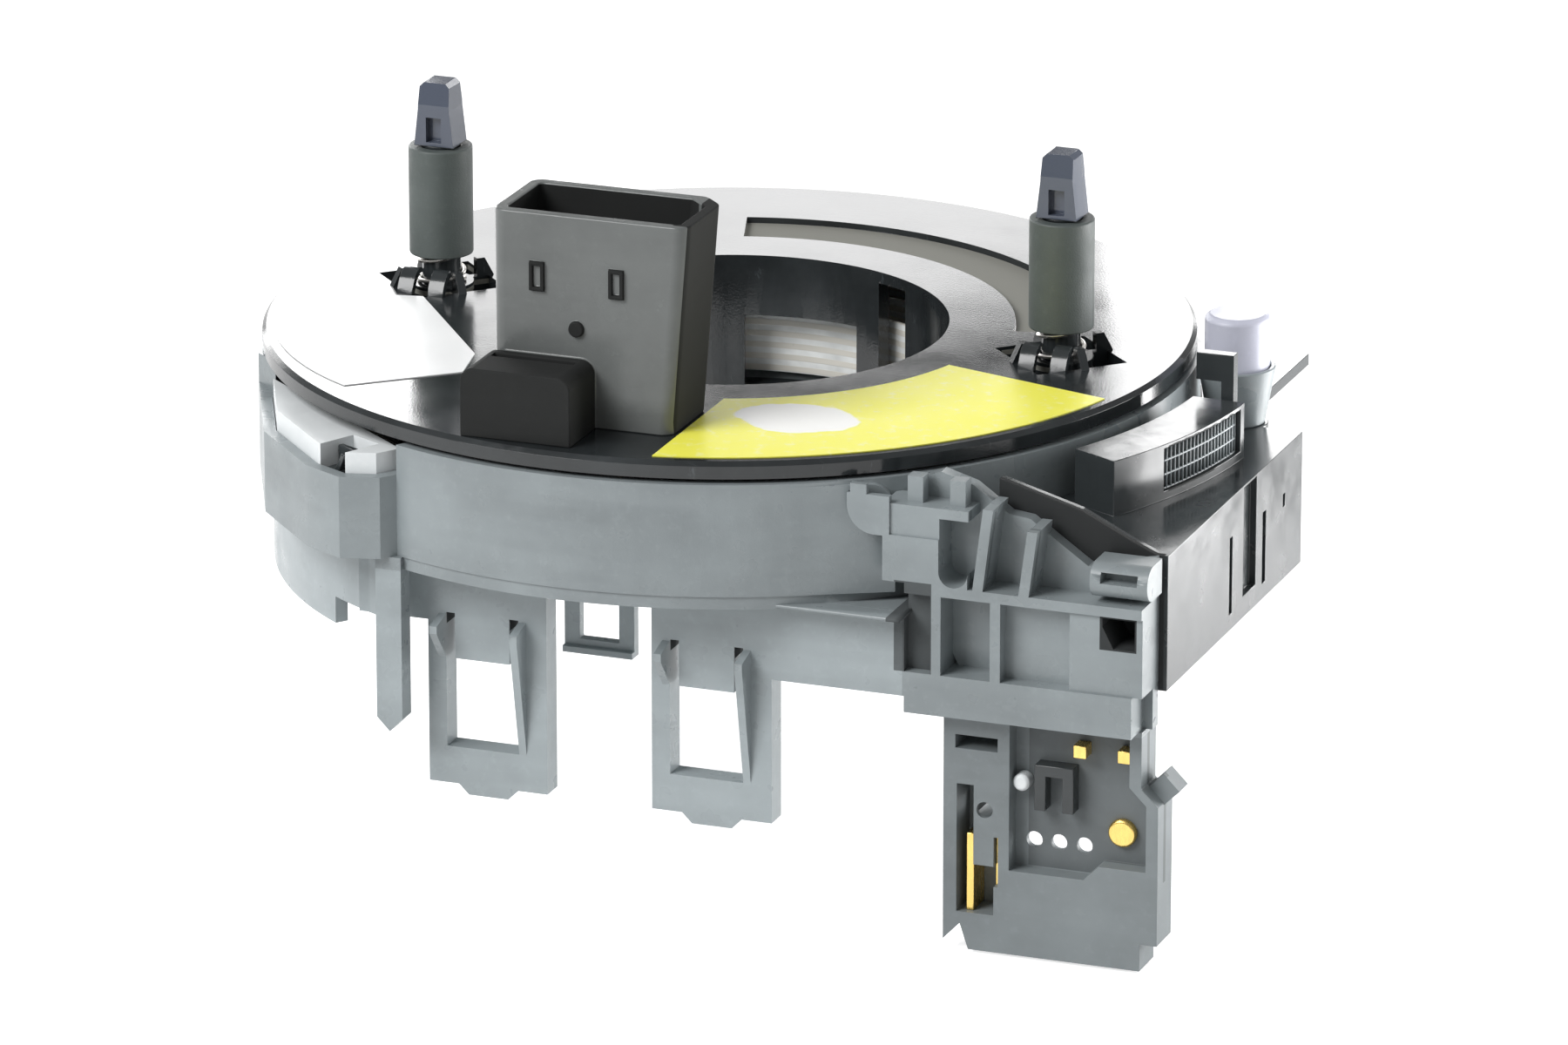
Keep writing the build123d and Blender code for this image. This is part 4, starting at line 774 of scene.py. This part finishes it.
class CLOCKSPRING_OT_locks(bpy.types.Operator):
    """Finish the two lock sleeves and wind the two round-wire springs"""

    bl_idname = "clockspring.locks"
    bl_label = "Lock sleeves and springs"

    def execute(self, context):
        sizes = context.scene.clock_spring_sizes
        for side in ("left", "right"):
            sleeve = f"{side}_lock_sleeve"
            mould(context, (sleeve,), centres=(middle_of(sleeve),), step_factor=4)
            self.wind(sizes, side, middle_of(sleeve))
        return {"FINISHED"}

    def wind(self, sizes, side, post):
        """A helix: the wire's middle is the post plus coil radius times (cos t, sin t). It lies flat for part of a turn
        at each end, and between them it rises by 0.65 of an even climb and 0.35 of a smooth step."""
        points_per_turn, end_turn, smooth, sides, slim = 40, 0.6, 0.35, 10, 0.98
        node = f"{side}_lock_spring"
        low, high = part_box(node)
        share = np.linspace(0, 1, int(sizes.spring_turns * points_per_turn))
        turn = share * sizes.spring_turns * TAU
        flat = end_turn / sizes.spring_turns
        even = np.clip((share - flat) / (1 - 2 * flat), 0, 1)
        rise = even * even * (3 - 2 * even) * smooth + even * (1 - smooth)
        bottom = low.z + sizes.wire_radius
        climb = high.z - low.z - 2 * sizes.wire_radius
        path = np.stack(
            [
                post[0] + sizes.coil_radius * np.cos(turn),
                post[1] + sizes.coil_radius * np.sin(turn),
                bottom + climb * rise,
            ],
            axis=-1,
        )
        points, faces = tube(path, sizes.wire_radius * slim, sides)
        coil = new_piece(
            f"{side}_spring_coil", points, faces, BODY_OF[node], finishes()["spring_steel"]
        )
        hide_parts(node)
        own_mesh(coil)


class CLOCKSPRING_OT_labels(bpy.types.Operator):
    """Lay the two bare label films on the disc"""

    bl_idname = "clockspring.labels"
    bl_label = "Label films"

    def execute(self, context):
        mould(context, ("yellow_label", "white_label"), edge=0.0)
        return {"FINISHED"}


class CLOCKSPRING_OT_buffer(bpy.types.Operator):
    """Finish the buffer and its cup"""

    bl_idname = "clockspring.buffer"
    bl_label = "Buffer and cup"

    def execute(self, context):
        mould(context, ("buffer_cup", "stop_buffer"), centres=(middle_of("stop_buffer"),), step_factor=3)
        return {"FINISHED"}


class CLOCKSPRING_OT_grille(bpy.types.Operator):
    """Set the bar mesh into the curved window of the grille wall"""

    bl_idname = "clockspring.grille"
    bl_label = "Grille mesh"

    def execute(self, context):
        sizes = context.scene.clock_spring_sizes
        points, faces, count, sides = [], [], 0, 6
        for path in self.bars(sizes):
            more, quads = tube(path, sizes.mesh_bar, sides)
            points.append(more)
            faces += [[i + count for i in face] for face in quads]
            count += len(more)
        new_piece("grille_mesh", np.concatenate(points), faces, "stator", finishes()["gray_plastic"])
        return {"FINISHED"}

    def bars(self, sizes):
        """Middle lines of the bars on a cylinder about the rotor axis: level arcs one above the other, and upright
        lines at even turns; a point is radius times (cosine, sine) of its turn, at its level."""
        level_points, upright_points = 40, 4
        turns, levels = (sizes.mesh_start, sizes.mesh_end), (-sizes.mesh_foot, -sizes.mesh_top)
        bars = [
            (np.linspace(*turns, level_points), np.full(level_points, level))
            for level in np.linspace(*levels, sizes.mesh_rows)
        ]
        bars += [
            (np.full(upright_points, turn), np.linspace(*levels, upright_points))
            for turn in np.linspace(*turns, sizes.mesh_columns)
        ]
        return [
            np.stack([sizes.mesh_radius * np.cos(turn), sizes.mesh_radius * np.sin(turn), level], axis=-1)
            for turn, level in bars
        ]


class CLOCKSPRING_OT_block(bpy.types.Operator):
    """Finish the terminal block with its contacts"""

    bl_idname = "clockspring.block"
    bl_label = "Terminal block"

    def execute(self, context):
        fine = context.scene.clock_spring_sizes.fine_edge_round
        mould(context, ("terminal_block", "block_clip", "block_stud"), edge=fine)
        mould(context, ("contact_blades", "contact_pins", "contact_pad"), edge=fine)
        return {"FINISHED"}


class CLOCKSPRING_OT_inside(bpy.types.Operator):
    """Finish the ribbon, the board and the light barriers inside"""

    bl_idname = "clockspring.inside"
    bl_label = "Ribbon and sensor board"

    def execute(self, context):
        for node in ("ribbon_cable", "circuit_board", "light_barriers"):
            dress(node, finishes()[SLOT_OF[node]])
        return {"FINISHED"}


class CLOCKSPRING_OT_stage(bpy.types.Operator):
    """Set up the floor, the lamps, the pale room and the camera"""

    bl_idname = "clockspring.stage"
    bl_label = "Floor, lamps and camera"

    def execute(self, context):
        stage = context.scene.clock_spring_stage
        aim = Vector(stage.aim)
        self.floor(stage, cad_box[0].z - stage.floor_drop)
        key_place, key_side = (-0.42, -0.62, 0.62), 0.5
        card_place, card_aim, card_width, card_height = (0.150, 0.070, -0.052), (0.060, 0.010, -0.010), 0.10, 0.24
        self.lamp("Key lamp", key_place, aim, key_side, key_side, stage.key_power)
        self.panels(stage)
        self.lamp("Right card", card_place, card_aim, card_width, card_height, stage.card_power)
        self.room(context, stage)
        self.camera(context, stage, aim)
        return {"FINISHED"}

    def panels(self, stage):
        """Three panels close behind the object, which only light its reflections: each row gives the distance
        behind the rotor axis, aside and up, the width and height, the power and the roll."""
        away = Vector((-math.sin(stage.azimuth), math.cos(stage.azimuth), 0))
        across = Vector((math.cos(stage.azimuth), math.sin(stage.azimuth), 0))
        for name, out, aside, level, width, height, power, roll in (
            ("Low panel", 0.125, -0.030, 0.028, 0.26, 0.036, stage.panel_power, 0.14),
            ("Left side panel", 0.130, -0.085, 0.050, 0.09, 0.090, stage.side_power, 0.0),
            ("Right side panel", 0.130, 0.073, 0.048, 0.05, 0.085, stage.side_power * 0.5, 0.0),
        ):
            place = away * out + across * aside + Vector((0, 0, level))
            panel = self.lamp(name, place, place - away, width, height, power)
            panel.rotation_euler.rotate_axis("Z", roll)
            panel.visible_diffuse = False

    def floor(self, stage, level):
        """A square floor whose material glows for the camera and in reflections, and keeps the object's shadow."""
        reach = 6.0
        corners = [(-reach, -reach, level), (reach, -reach, level), (reach, reach, level), (-reach, reach, level)]
        mesh = bpy.data.meshes.new("Floor")
        mesh.from_pydata(corners, [], [(0, 1, 2, 3)])
        floor = bpy.data.objects.new("Floor", mesh)
        bpy.context.scene.collection.objects.link(floor)
        finish = Finish("Pale floor")
        base = tuple(stage.floor_colour)
        toned = finish.blend(finish.span(finish.noise(3, 3), 0, 1), shade(base, 0.985), base)
        path = finish.add("ShaderNodeLightPath")
        seen = finish.math("MAXIMUM", path.outputs["Is Camera Ray"], path.outputs["Is Glossy Ray"])
        finish.link(toned, finish.shader.inputs["Base Color"])
        finish.link(finish.math("MULTIPLY", seen, stage.glow), finish.shader.inputs["Emission Strength"])
        finish.set(**{"Roughness": 0.7, "Specular IOR Level": 0.2, "Emission Color": (1, 1, 1, 1)})
        floor.data.materials.append(finish.material)

    def lamp(self, name, place, aim, width, height, power):
        """A soft rectangular lamp that faces its aim and isn't seen by the camera."""
        data = bpy.data.lights.new(name, "AREA")
        data.shape = "RECTANGLE"
        data.size, data.size_y = width, height
        data.energy = power
        lamp = bpy.data.objects.new(name, data)
        lamp.location = place
        lamp.rotation_euler = (Vector(aim) - Vector(place)).to_track_quat("-Z", "Y").to_euler()
        lamp.visible_camera = False
        bpy.context.scene.collection.objects.link(lamp)
        return lamp

    def room(self, context, stage):
        """Pale even room light, with a strength of 1 where the camera sees it."""
        world = bpy.data.worlds.new("Pale room")
        world.use_nodes = True
        tree = world.node_tree
        path = tree.nodes.new("ShaderNodeLightPath")
        strength = tree.nodes.new("ShaderNodeMapRange")
        strength.inputs["To Min"].default_value = stage.fill
        strength.inputs["To Max"].default_value = 1.0
        tree.links.new(path.outputs["Is Camera Ray"], strength.inputs["Value"])
        back = tree.nodes["Background"]
        back.inputs["Color"].default_value = (1, 1, 1, 1)
        tree.links.new(strength.outputs["Result"], back.inputs["Strength"])
        context.scene.world = world

    def camera(self, context, stage, aim):
        """Camera at the photograph's angle, as far from its aim as the panel says."""
        data = bpy.data.cameras.new("Camera")
        data.lens = stage.lens
        data.sensor_width = 36
        data.clip_end = 50
        camera = bpy.data.objects.new("Camera", data)
        turn, rise = stage.azimuth, stage.elevation
        back = Vector((math.sin(turn) * math.cos(rise), -math.cos(turn) * math.cos(rise), math.sin(rise)))
        camera.location = aim + back * stage.distance
        camera.rotation_euler = (-back).to_track_quat("-Z", "Y").to_euler()
        context.scene.collection.objects.link(camera)
        context.scene.camera = camera
        context.scene.view_settings.view_transform = "Standard"


BUILD_ORDER = (
    CLOCKSPRING_OT_stator,
    CLOCKSPRING_OT_rotor,
    CLOCKSPRING_OT_socket,
    CLOCKSPRING_OT_locks,
    CLOCKSPRING_OT_labels,
    CLOCKSPRING_OT_buffer,
    CLOCKSPRING_OT_grille,
    CLOCKSPRING_OT_block,
    CLOCKSPRING_OT_inside,
    CLOCKSPRING_OT_stage,
)


class CLOCKSPRING_PT_panel(bpy.types.Panel):
    """Sidebar panel that lists the pieces"""

    bl_idname = "CLOCKSPRING_PT_panel"
    bl_label = "Clock spring"
    bl_space_type = "VIEW_3D"
    bl_region_type = "UI"
    bl_category = "Clock spring"

    def draw(self, context):
        scene = context.scene
        for operator in BUILD_ORDER:
            self.layout.operator(operator.bl_idname)
        for group in (scene.clock_spring_colours, scene.clock_spring_sizes, scene.clock_spring_stage):
            box = self.layout.box()
            for key in group.__annotations__:
                box.prop(group, key)


GROUPS = (
    ("clock_spring_colours", ClockSpringColours),
    ("clock_spring_sizes", ClockSpringSizes),
    ("clock_spring_stage", ClockSpringStage),
)


def register():
    """Register the groups, the operators and the panel."""
    for name, group in GROUPS:
        bpy.utils.register_class(group)
        setattr(bpy.types.Scene, name, PointerProperty(type=group))
    for operator in BUILD_ORDER:
        bpy.utils.register_class(operator)
    bpy.utils.register_class(CLOCKSPRING_PT_panel)


def unregister():
    """Take everything out again, in the opposite order."""
    bpy.utils.unregister_class(CLOCKSPRING_PT_panel)
    for operator in reversed(BUILD_ORDER):
        bpy.utils.unregister_class(operator)
    for name, group in reversed(GROUPS):
        delattr(bpy.types.Scene, name)
        bpy.utils.unregister_class(group)


def main():
    """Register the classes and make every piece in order."""
    register()
    for operator in BUILD_ORDER:
        group, call = operator.bl_idname.split(".")
        getattr(getattr(bpy.ops, group), call)()


if __name__ == "__main__":
    main()
